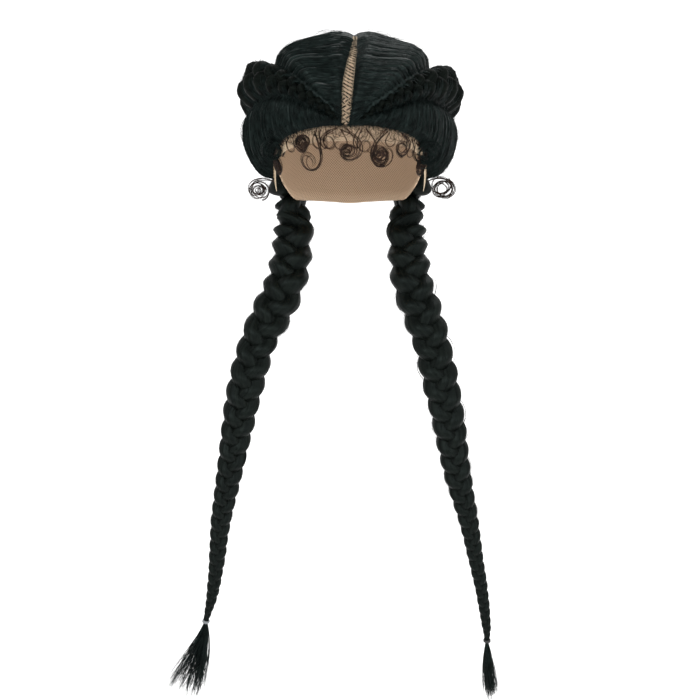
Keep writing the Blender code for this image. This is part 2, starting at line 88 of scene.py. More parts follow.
# The cap's edge, from the centre of the forehead round to the nape, the same on both sides.
Rim = namedtuple("Rim", "azimuth elevation lace_degrees")
RIM = (
    Rim(0, 24, 7.5),
    Rim(15, 23.2, 7.5),
    Rim(30, 19, 7.5),
    Rim(44, 12, 7.5),
    Rim(56, 2, 8),
    Rim(65, -13, 9),
    Rim(71, -27, 9),
    Rim(80, -28, 6),
    Rim(89, -11, 0),
    Rim(100, -8, 0),
    Rim(107.5, -17, 0),
    Rim(114, -38, 0),
    Rim(128, -51, 0),
    Rim(180, -55, 0),
)
LACE_END_AZIMUTH = 80
LACE_GAP_DEGREES = 0.5
KNOT_PERIOD = 0.0044
KNOT_STEP_DEGREES = 2.3
KNOT_LANE = 0.0029

# The hair on each half of the head, from the hairline to the nape.
Hair = namedtuple(
    "Hair",
    "part_angle braid_azimuth braid_elevation braid_half braid_height braid_lift rim_azimuth"
    " crown_full side_full",
)
HAIR = (
    Hair(26, 10, 29, 0.0028, 0.0065, 0.000, 3.8, 0.3, 0.30),
    Hair(40, 20, 34.5, 0.0055, 0.0120, 0.000, 17, 0.7, 0.60),
    Hair(60, 48, 41, 0.0090, 0.0190, 0.001, 40, 1.0, 0.85),
    Hair(82, 77, 37, 0.0140, 0.0290, 0.004, 62, 1.0, 1.60),
    Hair(104, 104, 23, 0.0185, 0.0380, 0.003, 80, 0.9, 2.70),
    Hair(128, 122, 4, 0.0200, 0.0355, 0.002, 104, 0.8, 2.30),
    Hair(158, 132, -14, 0.0195, 0.0370, 0.006, 108.5, 0.8, 2.00),
    Hair(196, 136, -31, 0.0195, 0.0370, 0.005, 114.5, 0.8, 1.00),
    Hair(232, 137, -46, 0.0190, 0.0340, 0.001, 118, 0.7, 1.00),
)
CROWN_THICKNESS = (0.0016, 0.0036, 0.0036, 0.0062, 0.0110, 0.0135, 0.0090)
CROWN_FULLNESS = {1: 1.22, -1: 1.0}
SIDE_THICKNESS = (0.0016, 0.0050, 0.0072, 0.0085, 0.0090, 0.0085, 0.0060)
LEFT_BRAID_DROP = 3.0
SIDE_HAIR_END = 5.0
# The finished hair starts a little before the first row, so that no lace shows beside the parting.
FIRST_PLACE = -0.5
# How far the combed hair runs on under the braid: as a share of its length and of the braid's half width.
UNDER_SHARE = 0.12
UNDER_BRAID = 0.5
# The combed hair rises from the cap over this length, but never over more than this share of its own.
ROOT_LENGTH = 0.006
ROOT_SHARE = 0.35

# The parting: its half width and its drift to the wearer's left, from the forehead over the crown.
# "shown" is the half width that the hair leaves open: less than nothing where both sides meet.
Parting = namedtuple("Parting", "angle half_width drift shown")
PARTING = (
    Parting(24, 0.0048, -0.0042, 0.0030),
    Parting(50, 0.0045, -0.0015, 0.0043),
    Parting(75, 0.0035, 0.003, 0.0028),
    Parting(95, 0.0022, 0.005, 0.0011),
    Parting(125, 0.0018, 0.003, -0.0004),
    Parting(160, 0.0005, 0.0, -0.0004),
    Parting(232, 0.0005, 0.0, -0.0004),
)
PARTING_LACE_END = 104

# The hanging plaits, from the nape to the hair tie. "out" is the distance from the middle plane.
Plait = namedtuple("Plait", "out y z half_width")
RIGHT_PLAIT = (
    Plait(0.0555, 0.0490, -0.1965, 0.0200),
    Plait(0.0570, 0.0200, -0.2200, 0.0205),
    Plait(0.0630, -0.0060, -0.2420, 0.0210),
    Plait(0.0755, -0.0210, -0.2650, 0.0205),
    Plait(0.0890, -0.0330, -0.2900, 0.0186),
    Plait(0.1000, -0.0440, -0.3270, 0.0182),
    Plait(0.1080, -0.0500, -0.3640, 0.0165),
    Plait(0.1170, -0.0560, -0.4150, 0.0134),
    Plait(0.1270, -0.0590, -0.4710, 0.0102),
    Plait(0.1325, -0.0600, -0.5210, 0.0078),
    Plait(0.1375, -0.0600, -0.5560, 0.0058),
    Plait(0.1415, -0.0600, -0.5730, 0.0038),
    Plait(0.1440, -0.0600, -0.5840, 0.0026),
)
LEFT_PLAIT = (
    Plait(0.0555, 0.0490, -0.1965, 0.0200),
    Plait(0.0565, 0.0200, -0.2190, 0.0203),
    Plait(0.0605, -0.0060, -0.2400, 0.0208),
    Plait(0.0715, -0.0240, -0.2690, 0.0200),
    Plait(0.0805, -0.0350, -0.2970, 0.0186),
    Plait(0.0890, -0.0450, -0.3330, 0.0180),
    Plait(0.0970, -0.0510, -0.3730, 0.0162),
    Plait(0.1060, -0.0565, -0.4250, 0.0134),
    Plait(0.1165, -0.0590, -0.4700, 0.0100),
    Plait(0.1240, -0.0600, -0.5110, 0.0078),
    Plait(0.1310, -0.0600, -0.5490, 0.0064),
    Plait(0.1360, -0.0600, -0.5860, 0.0048),
    Plait(0.1370, -0.0600, -0.5980, 0.0034),
    Plait(0.1373, -0.0600, -0.6060, 0.0026),
)
STEPS_PER_ROW = 60
SETTLE_LENGTH = 0.06
STRAND_SWING = 0.40
STRAND_DIVE = 0.26
STRAND_RADIUS = 0.60
PLAIT_FLATNESS = 0.90
START_HEIGHT = 0.0165
LOBE_BASE = 0.0045
LOBE_SHARE = 0.92
START_HALF_WIDTH = 0.0190
START_GAP = 0.0006

# Hair ties, and the loose ends below them.
TIE_WIRE = 0.0010
TIE_WINDING_RADIUS = 0.0031
TIE_THREAD_RADIUS = 0.0006
TIE_TURNS = 4
TIE_STEPS = 24
TIE_COLOURS = {1: (0.010, 0.010, 0.011, 1), -1: (0.16, 0.17, 0.18, 1)}
Tassel = namedtuple("Tassel", "length lean_out spread_in spread_out depth lock_radius locks")
RIGHT_TASSEL = Tassel(0.092, 0.014, 0.009, 0.022, 0.007, 0.0040, 6)
LEFT_TASSEL = Tassel(0.072, 0.005, 0.005, 0.005, 0.004, 0.0028, 5)
TASSEL_GUIDES = 40
TASSEL_STEPS = 10
PLAITS = (
    (1, "left", LEFT_PLAIT, LEFT_TASSEL),
    (-1, "right", RIGHT_PLAIT, RIGHT_TASSEL),
)

# Baby hair: each curl is a ring of wisps below the hairline, some of them rooted there. "stand_off" is how
# far the ring stands off the head, and a ring that stands off faces forward. "fill" is the share of the
# other wisps that wind in towards its middle.
Curl = namedtuple(
    "Curl", "name azimuth elevation radius root_azimuth turns half_thickness stand_off wisps fill"
)
CURLS = (
    Curl("brow_curl_right_outer", -29, 11.8, 0.0075, -33, 1.3, 0.0014, 0, 8, 0.62),
    Curl("brow_curl_right_low", -23.6, 2, 0.0082, -21, -1.2, 0.0006, 0, 3, 0.15),
    Curl("brow_curl_right_inner", -12.5, 13.9, 0.0060, -11, 1.2, 0.0006, 0, 3, 0.20),
    Curl("brow_curl_centre", -0.9, 9.8, 0.0075, -4, -1.3, 0.0012, 0, 6, 0.55),
    Curl("brow_curl_left_inner", 18, 5.9, 0.0095, 21, 1.3, 0.0015, 0, 9, 0.62),
    Curl("brow_curl_left_outer", 32.5, 7.7, 0.0075, 29.5, -1.2, 0.0006, 0, 4, 0.20),
    Curl("temple_curl_right", -52.5, -9, 0.0080, -48, 1.3, 0.0014, 0, 8, 0.60),
    Curl("temple_curl_left", 51.5, -8, 0.0090, 47, -1.3, 0.0014, 0, 10, 0.70),
    Curl("sideburn_curl_right", -77.5, -29.5, 0.0080, -75, 1.3, 0.0012, 0.0185, 7, 0.15),
    Curl("sideburn_curl_left", 77.5, -27, 0.0082, 76, -1.3, 0.0013, 0.0195, 8, 0.25),
)
# The first wisps of a curl are rooted. A rooted wisp has fewer hairs than the others.
ROOTED_WISPS = 3
ROOTED_HAIRS = 4
WISP_HAIRS = 6
# Swirls and single loops of baby hair that have no curl of their own in the frame.
SWIRLS = (
    Curl("temple_swirl_right", -54, 1.5, 0.0088, -55, 1.3, 0.0026, 0.0085, 8, 0.60),
    Curl("temple_swirl_left", 54, -1.5, 0.0105, 55, -1.3, 0.0026, 0.0085, 10, 0.60),
)
LOOPS = tuple(
    Curl("", azimuth, elevation, radius, root_azimuth, turns, 0.0005, 0, 1, 0)
    for azimuth, elevation, radius, root_azimuth, turns in (
        (8.5, 13.0, 0.0048, 5.5, 1.25),
        (11.5, 9.8, 0.0040, 13.0, -1.2),
        (4.5, 14.5, 0.0042, 8.0, 1.15),
        (-17.5, 14.0, 0.0058, -22.5, 1.2),
        (-38.0, 7.5, 0.0046, -40.0, 1.2),
        (39.5, 4.5, 0.0056, 41.0, -1.2),
        (25.0, 14.0, 0.0048, 27.5, 1.2),
        (-6.5, 13.5, 0.0052, -8.5, -1.2),
    )
)
STRAY_HAIRS = 70

# Strands grown along guides: their radius, how many lie beside each guide, how far these spread sideways
# and lift off, and how far they sway. Strands that have no radius here are given one where they are grown.
Bunch = namedtuple("Bunch", "radius copies spread lift wave", defaults=(0.0, 0.0))
SINGLE = Bunch(None, 1, 0.0)
FED_BUNCH = Bunch(None, 3, 0.0016, 0.0005, 0.0006)
FLYAWAY_BUNCH = Bunch(0.00010, 2, 0.002, 0.001, 0.001)
HAIRLINE_BUNCH = Bunch(0.00017, 2, 0.0011, 0.0003, 0.0004)
PARTING_BUNCH = Bunch(0.00018, 3, 0.0008, 0.0003, 0.0003)
PARTING_KNOT = Bunch(0.00026, 7, 0.0006)
HAIRLINE_KNOT = Bunch(0.00024, 3, 0.0005)
WOVEN_BUNCH = Bunch(None, 2, 0.0022, 0.0, 0.0010)
TASSEL_BUNCH = Bunch(None, 2, 0.0015, 0.001, 0.0016)
BABY_BUNCH = Bunch(0.00015, 2, 0.0004, 0.0003, 0.0002)

# How densely the combed hair is dressed: rows of its sheets, distances between guides, numbers of guides,
# and the places of the table of hair at which the hairline and the parting's edge end.
SHEET_ROWS = 18
LOCK_SPACING = 0.0009
FED_SPACING = 0.0004
FED_GUIDES = 300
FED_SHARE = 0.75
CROWN_FLYAWAYS = 90
SIDE_FLYAWAYS = 60
HAIRLINE_SPACING = 0.00055
HAIRLINE_END = 3.9
PARTING_SPACING = 0.0011
PARTING_END = 3.6

# The knots on the front lace, in rows this many degrees below the hairline. The last row has gaps.
KNOT_DROPS = (0.5, 1.8, 3.1)
KNOT_END_AZIMUTH = 64.0
KNOT_AZIMUTH_STEP = 1.45
KNOTS_LEFT_OUT = 0.45

# The woven hair: rings in one turn of the weave, corners of a strand, hairs on it, and how it shines.
HEAD_BRAID_RINGS = 26
PLAIT_RINGS = 20
STRAND_CORNERS = 46
OVERLAY_HAIRS = 10
OVERLAY_REACH = 1.02
HEAD_BRAID_SHINE = 0.03
PLAIT_SHINE = 0.10
FULL_HALF_WIDTH = 0.02

# Grids of the cap and of the nets.
CAP_COLUMNS = 132
CAP_ROWS = 32
CAP_NET_PITCH = 0.0022
CAP_FLOW = (0.0016, 0.0013)
FRONT_NET_WIDTH = 0.33
FRONT_NET_HEIGHT = 0.012
PARTING_NET_COLUMNS = 54
PARTING_NET_ROWS = 4

# The stage.
FLOOR_DROP = 0.006
FLOOR_HALF = 40.0
LIGHT_AIM = Vector((0, 0, -0.2))
Light = namedtuple("Light", "name place size power")
LIGHTS = (
    Light("key light", (-1.1, -1.9, 1.9), 1.2, 45),
    Light("fill light", (1.5, -1.6, 1.0), 1.4, 22),
    Light("rim light", (0.5, 1.8, 1.6), 1.2, 20),
)
CAMERA_LENS = 161.56
CAMERA_SENSOR = 36
CAMERA_PLACE = (0, -2.81907786, 0.93806043)
CAMERA_TILT = 23.9516

SIDES = ((1, "left"), (-1, "right"))


def colour_setting(name, description, default):
    """A colour on the panel."""
    return bpy.props.FloatVectorProperty(
        name=name, description=description, subtype="COLOR", size=4, min=0, max=1, default=default
    )


def length_setting(name, description, low, high, default):
    """A length on the panel, kept between two limits."""
    return bpy.props.FloatProperty(
        name=name,
        description=description,
        subtype="DISTANCE",
        unit="LENGTH",
        min=low,
        max=high,
        default=default,
    )


class HairSettings(bpy.types.PropertyGroup):
    """Colours and sizes of the hair."""

    colour: colour_setting(
        "Hair colour", "Colour of the combed hair and the tassels", (0.0034, 0.0058, 0.0053, 1)
    )
    # The braids' colour is darker than the combed hair's: painted shade of the weave, on the same hair.
    braid_colour: colour_setting(
        "Braid colour", "Colour of the braided hair, which shadows itself", (0.0021, 0.0028, 0.0022, 1)
    )
    baby_colour: colour_setting(
        "Baby hair colour", "Colour of the fine curls along the hairline", (0.020, 0.011, 0.008, 1)
    )
    strand_radius: length_setting(
        "Strand radius", "Radius of one combed strand of hair", 0.00005, 0.001, 0.00022
    )
    lock_width: length_setting(
        "Lock width", "Distance between the grooves of the combed hair", 0.002, 0.02, 0.0065
    )
    lock_depth: length_setting("Lock depth", "Depth of the grooves of the combed hair", 0, 0.003, 0.0017)


class LaceSettings(bpy.types.PropertyGroup):
    """Colours and sizes of the lace and the cap."""

    lace_colour: colour_setting("Lace colour", "Colour of the lace threads", (0.66, 0.52, 0.36, 1))
    cap_colour: colour_setting("Cap colour", "Colour of the stretch cap", (0.56, 0.40, 0.27, 1))
    mesh_pitch: length_setting(
        "Mesh pitch", "Distance between neighbouring lace threads", 0.0005, 0.005, 0.0017
    )
    thread_radius: length_setting("Thread radius", "Radius of one lace thread", 0.00005, 0.0005, 0.00014)


def between(before, start, end, after, share):
    """A value part of the way from start to end, on a Catmull-Rom curve through all four."""
    rise = (end - before) / 2
    fall = (after - start) / 2
    return (
        start
        + share * rise
        + share**2 * (3 * (end - start) - 2 * rise - fall)
        + share**3 * (2 * (start - end) + rise + fall)
    )


def smooth_row(rows, place):
    """The columns of a table at a fractional row number, on a Catmull-Rom curve through the rows.

    Before the first row it runs on straight.
    """
    last = len(rows) - 1
    if place < 0:
        return type(rows[0])(*(a + place * (b - a) / 2 for a, b in zip(rows[0], rows[1])))
    index = min(int(place), last - 1)
    around = [rows[min(max(index + step, 0), last)] for step in (-1, 0, 1, 2)]
    return type(rows[0])(*(between(*values, place - index) for values in zip(*around)))


def row_at(rows, column, value):
    """The columns of a table where its rising column has this value, on straight lines between rows."""
    for start, end in zip(rows, rows[1:]):
        if value <= end[column]:
            break
    share = (value - start[column]) / (end[column] - start[column])
    share = min(max(share, 0), 1)
    return type(rows[0])(*(a + share * (b - a) for a, b in zip(start, end)))


def curve_at(values, share):
    """A value on a smooth curve through a row of evenly spaced ones."""
    last = len(values) - 1
    place = share * last
    index = min(int(place), last - 1)
    around = [values[min(max(index + step, 0), last)] for step in (-1, 0, 1, 2)]
    return between(*around, place - index)


def direction(azimuth, elevation):
    """The unit direction from the head's centre: azimuth 0 is the face, 90 the wearer's left."""
    turn, rise = math.radians(azimuth), math.radians(elevation)
    return Vector(
        (math.sin(turn) * math.cos(rise), -math.cos(turn) * math.cos(rise), math.sin(rise))
    )


def on_head(towards, height):
    """The point at this height above the head form, in a direction from its centre."""
    unit = towards.normalized()
    half_depth = HEAD_FRONT if unit.y < 0 else HEAD_BACK
    half_height = HEAD_CROWN if unit.z > 0 else HEAD_NAPE
    total = (
        abs(unit.x / HEAD_HALF_WIDTH) ** HEAD_POWER
        + abs(unit.y / half_depth) ** HEAD_POWER
        + abs(unit.z / half_height) ** HEAD_POWER
    )
    return HEAD_CENTRE + unit * (total ** (-1 / HEAD_POWER) + height)


def rim_row(azimuth):
    """The cap's edge at any azimuth, on either side, with the corners between the rows rounded off."""
    around = [row_at(RIM, 0, abs((azimuth + turn + 180) % 360 - 180)) for turn in (-4, -2, 0, 2, 4)]
    return Rim(*(sum(values) / len(around) for values in zip(*around)))


def mirrored(point, side):
    """A point made for the wearer's left, moved to this side: 1 is left and -1 is right."""
    return Vector((side * point.x, point.y, point.z))


def parting_direction(angle, sideways):
    """The direction of a point beside the parting, at an angle over the head from the face."""
    rise = math.radians(angle)
    return Vector((sideways / HEAD_CROWN, -math.cos(rise), math.sin(rise)))


def braid_point(place, side):
    """The head braid's path, made for the wearer's left. The one on that side runs a little lower."""
    row = smooth_row(HAIR, place)
    along = max(place, 0) / (len(HAIR) - 1)
    drop = LEFT_BRAID_DROP * math.sin(math.pi * along) if side == 1 else 0
    return on_head(direction(row.braid_azimuth, row.braid_elevation - drop), 0)


def braid_frame(place, side):
    """Where the head braid runs, its row, and the direction across it, towards the cap's edge."""
    row = smooth_row(HAIR, place)
    step = 0.01
    here = braid_point(place, side)
    before = braid_point(place - step, side)
    after = braid_point(min(place + step, len(HAIR) - 1), side)
    across = (after - before).cross(here - HEAD_CENTRE).normalized()
    return here, row, across


def beside_braid(place, side, offset):
    """The direction of a point beside the braid's path: offset is towards the cap's edge."""
    here, _, across = braid_frame(place, side)
    return here - HEAD_CENTRE + across * offset


def weave_turn(length, half_width):
    """The angle that the weave turns through over this length."""
    return 2 * math.pi * length / (3 * (LOBE_BASE + LOBE_SHARE * half_width))


def node_tools(tree):
    """Functions that add a node and that fill its sockets, each with a value or a link to a socket."""

    def fill(node, *first, **named):
        sockets = [*node.inputs[: len(first)], *(node.inputs[key.replace("_", " ")] for key in named)]
        for socket, value in zip(sockets, (*first, *named.values())):
            if isinstance(value, bpy.types.NodeSocket):
                tree.links.new(value, socket)
            else:
                socket.default_value = value
        return node

    def add(kind, settings=None, *first, **named):
        node = tree.nodes.new(kind)
        for key, value in (settings or {}).items():
            setattr(node, key, value)
        return fill(node, *first, **named)

    return add, fill


def strand_tree():
    """Geometry nodes that grow round strands along guides, with several copies beside each guide."""
    tree = bpy.data.node_groups.new("grow strands", "GeometryNodeTree")
    face = tree.interface
    face.new_socket("Geometry", in_out="INPUT", socket_type="NodeSocketGeometry")
    for name, kind in (
        ("Copies", "Int"),
        ("Spread", "Float"),
        ("Lift", "Float"),
        ("Wave", "Float"),
        ("Radius", "Float"),
        ("Sides", "Int"),
        ("Seed", "Int"),
        ("Material", "Material"),
    ):
        face.new_socket(name, in_out="INPUT", socket_type="NodeSocket" + kind)
    face.new_socket("Geometry", in_out="OUTPUT", socket_type="NodeSocketGeometry")
    add, fill = node_tools(tree)
    given = add("NodeGroupInput").outputs

    def calculated(kind, first, second):
        return add("ShaderNodeMath", {"operation": kind}, first, second).outputs[0]

    def attribute(name, kind="FLOAT"):
        return add("GeometryNodeInputNamedAttribute", {"data_type": kind}, name).outputs["Attribute"]

    def along_axis(name, distance):
        vector = attribute(name, "FLOAT_VECTOR")
        return add("ShaderNodeVectorMath", {"operation": "SCALE"}, vector, Scale=distance).outputs[0]

    flow = add("GeometryNodeMeshToCurve", Mesh=given["Geometry"]).outputs["Curve"]
    copies = {"Geometry": flow, "Amount": given["Copies"]}
    flow = add("GeometryNodeDuplicateElements", {"domain": "SPLINE"}, **copies).outputs["Geometry"]
    index = add("GeometryNodeInputIndex").outputs[0]
    for number, (name, low, high) in enumerate(
        (("shift", -1, 1), ("rise", 0, 1), ("phase", 0, 1), ("gauge", 0.7, 1.3))
    ):
        seed = calculated("ADD", given["Seed"], number * 101)
        chance = add("FunctionNodeRandomValue", {"data_type": "FLOAT"}, ID=index, Seed=seed)
        floats = [socket for socket in chance.inputs if socket.type == "VALUE"]
        floats[0].default_value = low
        floats[1].default_value = high
        value = next(socket for socket in chance.outputs if socket.type == "VALUE" and socket.enabled)
        kind = {"data_type": "FLOAT", "domain": "CURVE"}
        store = add("GeometryNodeStoreNamedAttribute", kind, Geometry=flow, Name=name, Value=value)
        flow = store.outputs["Geometry"]

    along = add("GeometryNodeSplineParameter").outputs["Factor"]
    room = attribute("room")
    swing = calculated("MULTIPLY", along, 2 * math.pi)
    swing = calculated("ADD", swing, calculated("MULTIPLY", attribute("phase"), 2 * math.pi))
    swing = calculated("MULTIPLY", calculated("SINE", swing, 0), given["Wave"])
    sideways = calculated("MULTIPLY", attribute("shift"), given["Spread"])
    sideways = calculated("MULTIPLY", calculated("ADD", sideways, swing), room)
    outwards = calculated("MULTIPLY", attribute("rise"), given["Lift"])
    outwards = calculated("MULTIPLY", outwards, room)
    shift = add(
        "ShaderNodeVectorMath",
        {"operation": "ADD"},
        along_axis("beside", sideways),
        along_axis("outward", outwards),
    )
    flow = add("GeometryNodeSetPosition", Geometry=flow, Offset=shift.outputs[0]).outputs["Geometry"]

    size = calculated("MULTIPLY", attribute("gauge"), attribute("taper"))
    size = calculated("MULTIPLY", size, given["Radius"])
    flow = add("GeometryNodeSetCurveRadius", Curve=flow, Radius=size).outputs["Curve"]
    profile = add("GeometryNodeCurvePrimitiveCircle", Radius=1.0, Resolution=given["Sides"])
    profile = profile.outputs["Curve"]
    tube = add("GeometryNodeCurveToMesh", Curve=flow, Profile_Curve=profile, Fill_Caps=True)
    if "Scale" in tube.inputs:
        fill(tube, Scale=size)
    flow = add("GeometryNodeSetShadeSmooth", Geometry=tube.outputs["Mesh"]).outputs["Geometry"]
    flow = add("GeometryNodeRealizeInstances", Geometry=flow).outputs["Geometry"]
    finish = add("GeometryNodeSetMaterial", Geometry=flow, Material=given["Material"])
    add("NodeGroupOutput", Geometry=finish.outputs["Geometry"])
    return tree


def node_mesh(name, mesh, tree, values):
    """The plain mesh that a node tree makes of a mesh, as an object of its own."""
    piece = bpy.data.objects.new(name, mesh)
    bpy.context.scene.collection.objects.link(piece)
    modifier = piece.modifiers.new("nodes", "NODES")
    modifier.node_group = tree
    for socket in tree.interface.items_tree:
        if socket.in_out == "INPUT" and socket.name in values:
            modifier[socket.identifier] = values[socket.name]
    graph = bpy.context.evaluated_depsgraph_get()
    result = bpy.data.meshes.new_from_object(piece.evaluated_get(graph))
    piece.modifiers.remove(modifier)
    piece.data = result
    bpy.data.meshes.remove(mesh)
    for extra in ("beside", "outward", "room", "taper", "shift", "rise", "phase", "gauge"):
        if extra in result.attributes:
            result.attributes.remove(result.attributes[extra])
    result.name = name
    return piece


def trail(points, outwards=None, soft=0.2, scale=1.0):
    """A guide through points: each with the directions beside and outward, the room for copies and a taper.

    It grows finer, and its copies lie closer together, over the share "soft" of its length at each end.
    """
    last = len(points) - 1
    guide = []
    for step, point in enumerate(points):
        tangent = points[min(step + 1, last)] - points[max(step - 1, 0)]
        outward = outwards[step] if outwards else (point - HEAD_CENTRE).normalized()
        beside = tangent.cross(outward).normalized()
        ends = min(1, step / (soft * last), (last - step) / (soft * last)) if soft else 1
        guide.append(
            (point, beside, outward, (0.25 + 0.75 * ends) * scale, (0.35 + 0.65 * ends) * scale)
        )
    return guide


def grow(name, guides, material, radius, bunch=SINGLE, sides=3, seed=1):
    """Strands of hair or thread along guides, as one plain mesh."""
    rows = [row for guide in guides for row in guide]
    edges = []
    start = 0
    for guide in guides:
        edges += [(start + step, start + step + 1) for step in range(len(guide) - 1)]
        start += len(guide)
    mesh = bpy.data.meshes.new(name)
    mesh.from_pydata([row[0] for row in rows], edges, [])
    for column, key in ((1, "beside"), (2, "outward")):
        layer = mesh.attributes.new(key, "FLOAT_VECTOR", "POINT")
        layer.data.foreach_set("vector", [value for row in rows for value in row[column]])
    for column, key in ((3, "room"), (4, "taper")):
        layer = mesh.attributes.new(key, "FLOAT", "POINT")
        layer.data.foreach_set("value", [row[column] for row in rows])
    values = {
        "Copies": bunch.copies,
        "Spread": bunch.spread,
        "Lift": bunch.lift,
        "Wave": bunch.wave,
        "Radius": radius,
        "Sides": sides,
        "Seed": seed,
        "Material": material,
    }
    return node_mesh(name, mesh, bpy.data.node_groups.get("grow strands") or strand_tree(), values)


def add_loft(name, loops, material):
    """One closed body made of lofts: each is a list of rings of points, capped at both ends.

    Its UV map follows the hair: the first coordinate runs along it and the second across it, in metres.
    """
    points, faces, flows = [], [], []
    for rings in loops:
        count = len(rings[0])
        base = len(points)
        travelled = 0.0
        along = [0.0]
        for before, after in zip(rings, rings[1:]):
            travelled += (after[0] - before[0]).length
            along.append(travelled)
        points += [point for ring in rings for point in ring]
        middle = rings[len(rings) // 2]
        girth = sum((a - b).length for a, b in zip(middle, middle[1:]))
        for ring in range(len(rings) - 1):
            for corner in range(count):
                after = (corner + 1) % count
                start, end = base + ring * count, base + (ring + 1) * count
                faces.append((start + corner, start + after, end + after, end + corner))
                left, right = girth * corner / count, girth * (corner + 1) / count
                flows += [
                    (along[ring], left),
                    (along[ring], right),
                    (along[ring + 1], right),
                    (along[ring + 1], left),
                ]
        faces.append(tuple(base + corner for corner in reversed(range(count))))
        flows += [(0, 0)] * count
        last = base + (len(rings) - 1) * count
        faces.append(tuple(last + corner for corner in range(count)))
        flows += [(travelled, 0)] * count
    return add_body(name, points, faces, flows, material)


def add_body(name, points, faces, flows, material):
    """A closed body with a UV map named flow and its faces pointing out."""
    mesh = bpy.data.meshes.new(name)
    mesh.from_pydata(points, [], faces)
    layer = mesh.uv_layers.new(name="flow")
    layer.data.foreach_set("uv", [value for flow in flows for value in flow])
    mesh.materials.append(material)
    mesh.shade_smooth()
    mesh.update()
    if signed_volume(mesh) < 0:
        mesh.flip_normals()
    piece = bpy.data.objects.new(name, mesh)
    bpy.context.scene.collection.objects.link(piece)
    return piece


def signed_volume(mesh):
    """The volume inside a mesh, negative where its faces point in."""
    mesh.calc_loop_triangles()
    corners = [vertex.co for vertex in mesh.vertices]
    total = 0.0
    for triangle in mesh.loop_triangles:
        a, b, c = (corners[index] for index in triangle.vertices)
        total += a.dot(b.cross(c))
    return total / 6


def add_sheet(name, low, high, flow, material):
    """A closed body between two sheets of points, each with as many rows and columns."""
    rows, columns = len(low), len(low[0])
    points = [point for sheet in (low, high) for row in sheet for point in row]
    top = rows * columns
    faces, flows = [], []

    def add(corners):
        faces.append(tuple(sheet * top + row * columns + column for sheet, row, column in corners))
        flows.extend(flow[row][column] for _, row, column in corners)

    for row in range(rows - 1):
        for column in range(columns - 1):
            around = ((row, column), (row + 1, column), (row + 1, column + 1), (row, column + 1))
            add([(1, *corner) for corner in around])
            add([(0, *corner) for corner in reversed(around)])
    edge = [(0, column) for column in range(columns)]
    edge += [(row, columns - 1) for row in range(1, rows)]
    edge += [(rows - 1, column) for column in range(columns - 2, -1, -1)]
    edge += [(row, 0) for row in range(rows - 2, 0, -1)]
    for start, end in zip(edge, edge[1:] + edge[:1]):
        add([(0, *end), (0, *start), (1, *start), (1, *end)])
    return add_body(name, points, faces, flows, material)


def claim(piece, slot, *nodes):
    """The piece rides on the wig and stands for these nodes. Its slot is not used."""
    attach(piece, "root")
    if nodes:
        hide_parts(*nodes)


def base_material(name):
    """A new material with its nodes, its shader and functions that add and fill nodes."""
    material = bpy.data.materials.new(name)
    material.use_nodes = True
    tree = material.node_tree
    return material, tree.nodes["Principled BSDF"], *node_tools(tree)


def toned(colour, factor):
    """A colour made darker or lighter."""
    return tuple(min(factor * part, 1) for part in colour[:3]) + (1,)


def blended(add, factor, low, high):
    """A colour between two, by a factor socket."""
    mix = add("ShaderNodeMix", {"data_type": "RGBA"}, Factor=factor)
    colours = [socket for socket in mix.inputs if socket.type == "RGBA"]
    colours[0].default_value = low
    colours[1].default_value = high
    return next(socket for socket in mix.outputs if socket.type == "RGBA")


def stretched_noise(add, source, scale, detail):
    """Noise drawn out along the hair: scale is its counts per metre along, across and through it."""
    place = add("ShaderNodeMapping", Vector=source, Scale=scale).outputs["Vector"]
    grain = add("ShaderNodeTexNoise", Vector=place, Scale=1.0, Detail=detail, Roughness=0.6)
    return grain.outputs["Fac"]


def ranged(add, value, low, high, start=0.0, end=1.0):
    """A value mapped from one range to another."""
    limits = {"From_Min": low, "From_Max": high, "To_Min": start, "To_Max": end}
    return add("ShaderNodeMapRange", Value=value, **limits).outputs["Result"]


def relief(add, height, strength, distance, invert=False):
    """Fine relief from a height socket, for a shader's normal."""
    bump = {"Strength": strength, "Distance": distance, "Height": height}
    return add("ShaderNodeBump", {"invert": invert}, **bump).outputs["Normal"]


def hair_finish(name, colour, follows_flow, roughness=0.36, shine=0.11):
    """Dark glossy hair: darker and lighter hairs side by side, the lighter ones partly painted highlight,
    with fine ridges along them.
    """
    existing = bpy.data.materials.get(name)
    if existing:
        return existing
    material, shader, add, fill = base_material(name)
    if follows_flow:
        source = add("ShaderNodeUVMap", {"uv_map": "flow"}).outputs["UV"]
        fine, broad = (25, 2600, 1), (12, 320, 1)
    else:
        source = add("ShaderNodeTexCoord").outputs["Object"]
        fine, broad = (900, 900, 900), (140, 140, 140)
    hairs = stretched_noise(add, source, fine, 2.0)
    # The peaks of this broad noise give the lighter tone: partly a random change of tone, partly a painted
    # highlight on the locks.
    locks = stretched_noise(add, source, broad, 3.0)
    fill(
        shader,
        Base_Color=blended(add, ranged(add, locks, 0.38, 0.66), toned(colour, 0.45), toned(colour, 2.2)),
        Roughness=ranged(add, hairs, 0.3, 0.7, roughness - 0.08, roughness + 0.10),
        Normal=relief(add, hairs, 0.5, 0.0003),
        Specular_IOR_Level=shine,
        Specular_Tint=(0.80, 1.0, 0.97, 1),
    )
    return material


def strand_finish():
    """The finish of the separate dark strands."""
    return hair_finish("hair strands", bpy.context.scene.wig_hair.colour, False)


def add_hair(name, guides, bunch, seed, *nodes, finish=None, radius=None):
    """Strands of hair along guides, as a piece with the given finish or that of the separate strands."""
    piece = grow(name, guides, finish or strand_finish(), radius or bunch.radius, bunch, seed=seed)
    claim(piece, "hair", *nodes)


